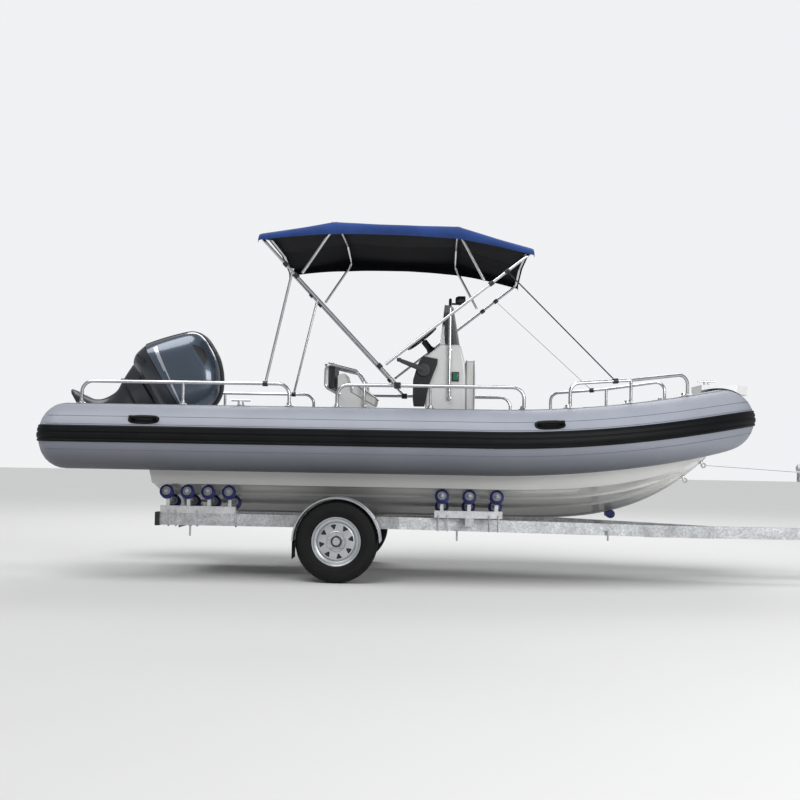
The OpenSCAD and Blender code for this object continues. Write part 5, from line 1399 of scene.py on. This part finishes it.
def nav_light_pieces():
    frames, lenses = [], []
    for side in SIDES:
        y0, y1 = side * (CONSOLE_Y + 0.0004), side * (CONSOLE_Y + 0.022)
        frames.append(prism_part([(3.322, 1.660), (3.382, 1.660), (3.382, 1.740), (3.322, 1.740)], y0,
                                 mix(y0, y1, 0.6)))
        lenses.append(prism_part([(3.331, 1.669), (3.373, 1.669), (3.373, 1.731), (3.331, 1.731)],
                                 mix(y0, y1, 0.55), y1))
    bevelled(joined("nav_light_frames", frames, BLACK_PLASTIC, ROOT, ("nav_lights",)), 0.003)
    bevelled(joined("nav_light_starboard_lens", lenses[:1], LENS_GREEN, ROOT), 0.004)
    bevelled(joined("nav_light_port_lens", lenses[1:], LENS_RED, ROOT), 0.004)


nav_light_pieces()


def console_rail_piece():
    y = CONSOLE_Y + RAIL_R + 0.012
    line = [at(3.3, -y, 1.5), at(3.3, -y, 2.365), at(3.3, y, 2.365), at(3.3, y, 1.5)]
    parts = [tube_part(line, 0.013, 0.09)]
    for side in SIDES:
        for z in (1.515, 1.930):
            parts.append(revolve_part([(0, 0.019), (0.003, 0.019), (0.005, 0.013), (0.025, 0.013)],
                                      at(3.3, side * (CONSOLE_Y + 0.0005), z), (0, side, 0), 24))
    joined("console_grab_rail", parts, STAINLESS, ROOT, ("console_rail",))


console_rail_piece()


def seat_frame_piece():
    """The tubes beside the helm seat and behind its back pad."""
    y0 = SEAT_Y + 0.022
    parts = []
    for side in SIDES:
        y = side * y0
        parts.append(tube_part([at(2.330, y, 1.550), at(2.236, y, 1.600), at(2.238, y, 1.805),
                                at(2.500, y, 1.745),
                                at(2.570, y, 1.640), at(2.570, y, 1.420)], 0.013, 0.05))
        for x, z in ((2.345, 1.545), (2.57, 1.44)):
            parts.append(revolve_part([(0, 0.018), (0.004, 0.018), (0.006, 0.0135), (0.0215, 0.0135)],
                                      at(x, side * (SEAT_Y + 0.0005), z), (0, side, 0), 24))
    parts.append(tube_part([at(2.238, -y0, 1.79), at(2.238, y0, 1.79)], 0.012))
    joined("seat_grab_frame", parts, STAINLESS, ROOT, ("helm_seat_frame",))


seat_frame_piece()


def winch_bracket():
    """The plate that joins the winch's cheeks to its post, with its four bolt heads."""
    parts = [box_part(6.4405, 6.4498, -0.048, 0.048, 0.854, 0.928)]
    for y in (-0.036, 0.036):
        for z in (0.868, 0.914):
            parts.append(revolve_part([(0, 0.007), (0.005, 0.007), (0.006, 0.005)], at(6.4405, y, z),
                                      (-1, 0, 0), 12))
    joined("winch_bracket", parts, GALVANISED, ROOT)


winch_bracket()

# ---- studio ------------------------------------------------------------------
FLOOR_HALF = 40
FLOOR_Z = -0.001
floor = mesh_object("studio_floor_sheet", [(x * FLOOR_HALF, y * FLOOR_HALF, FLOOR_Z)
                                           for x, y in ((-1, -1), (1, -1), (1, 1), (-1, 1))], [(0, 1, 2, 3)])
floor.data.materials.append(FLOOR)

world = bpy.data.worlds.new("studio")
bpy.context.scene.world = world
world.use_nodes = True
backdrop = world.node_tree.nodes["Background"]
backdrop.inputs["Color"].default_value = (0.97, 0.98, 1.0, 1)
eye_ray = world.node_tree.nodes.new("ShaderNodeLightPath")
brightness = node_in(world.node_tree, "ShaderNodeMapRange", **{"To Min": 0.34, "To Max": 0.9})
world.node_tree.links.new(eye_ray.outputs["Is Camera Ray"], brightness.inputs["Value"])
world.node_tree.links.new(brightness.outputs["Result"], backdrop.inputs["Strength"])


def area_light(name, place, target, size, power):
    data = bpy.data.lights.new(name, "AREA")
    data.shape = "RECTANGLE"
    data.size, data.size_y = size
    data.energy = power
    obj = bpy.data.objects.new(name, data)
    obj.location = place
    obj.rotation_euler = (Vector(target) - Vector(place)).to_track_quat("-Z", "Y").to_euler()
    bpy.context.collection.objects.link(obj)


sky = bpy.data.lights.new("high_key", "SUN")
sky.energy = 2.4
sky.angle = math.radians(50)
key = bpy.data.objects.new("high_key", sky)
key.rotation_euler = (Vector((0, 0, 0)) - Vector((-2.5, -3.6, 9.0))).to_track_quat("-Z", "Y").to_euler()
bpy.context.collection.objects.link(key)
area_light("fill", (5.5, -9.0, 4.0), (0.5, 0, 1.2), (6, 3), 420)
area_light("back", (0.0, 7.0, 7.5), (0, 0, 1.2), (10, 3), 420)

CAMERA_STATION = 3.224
CAMERA_BACK = 10.45
CAMERA_HEIGHT = 1.076
camera = bpy.data.objects.new("camera", bpy.data.cameras.new("camera"))
camera.data.sensor_width = 36.0
camera.data.lens = 53.4
camera.location = at(CAMERA_STATION, -CAMERA_BACK, CAMERA_HEIGHT)
yaw, pitch, roll = math.radians(1.93), math.radians(2.37), math.radians(1.0)
camera.matrix_world = (Matrix.Translation(camera.location) @ Matrix.Rotation(yaw, 4, "Z")
                       @ Matrix.Rotation(math.pi / 2 + pitch, 4, "X") @ Matrix.Rotation(roll, 4, "Z"))
bpy.context.collection.objects.link(camera)
bpy.context.scene.camera = camera
bpy.context.scene.view_settings.view_transform = "Standard"
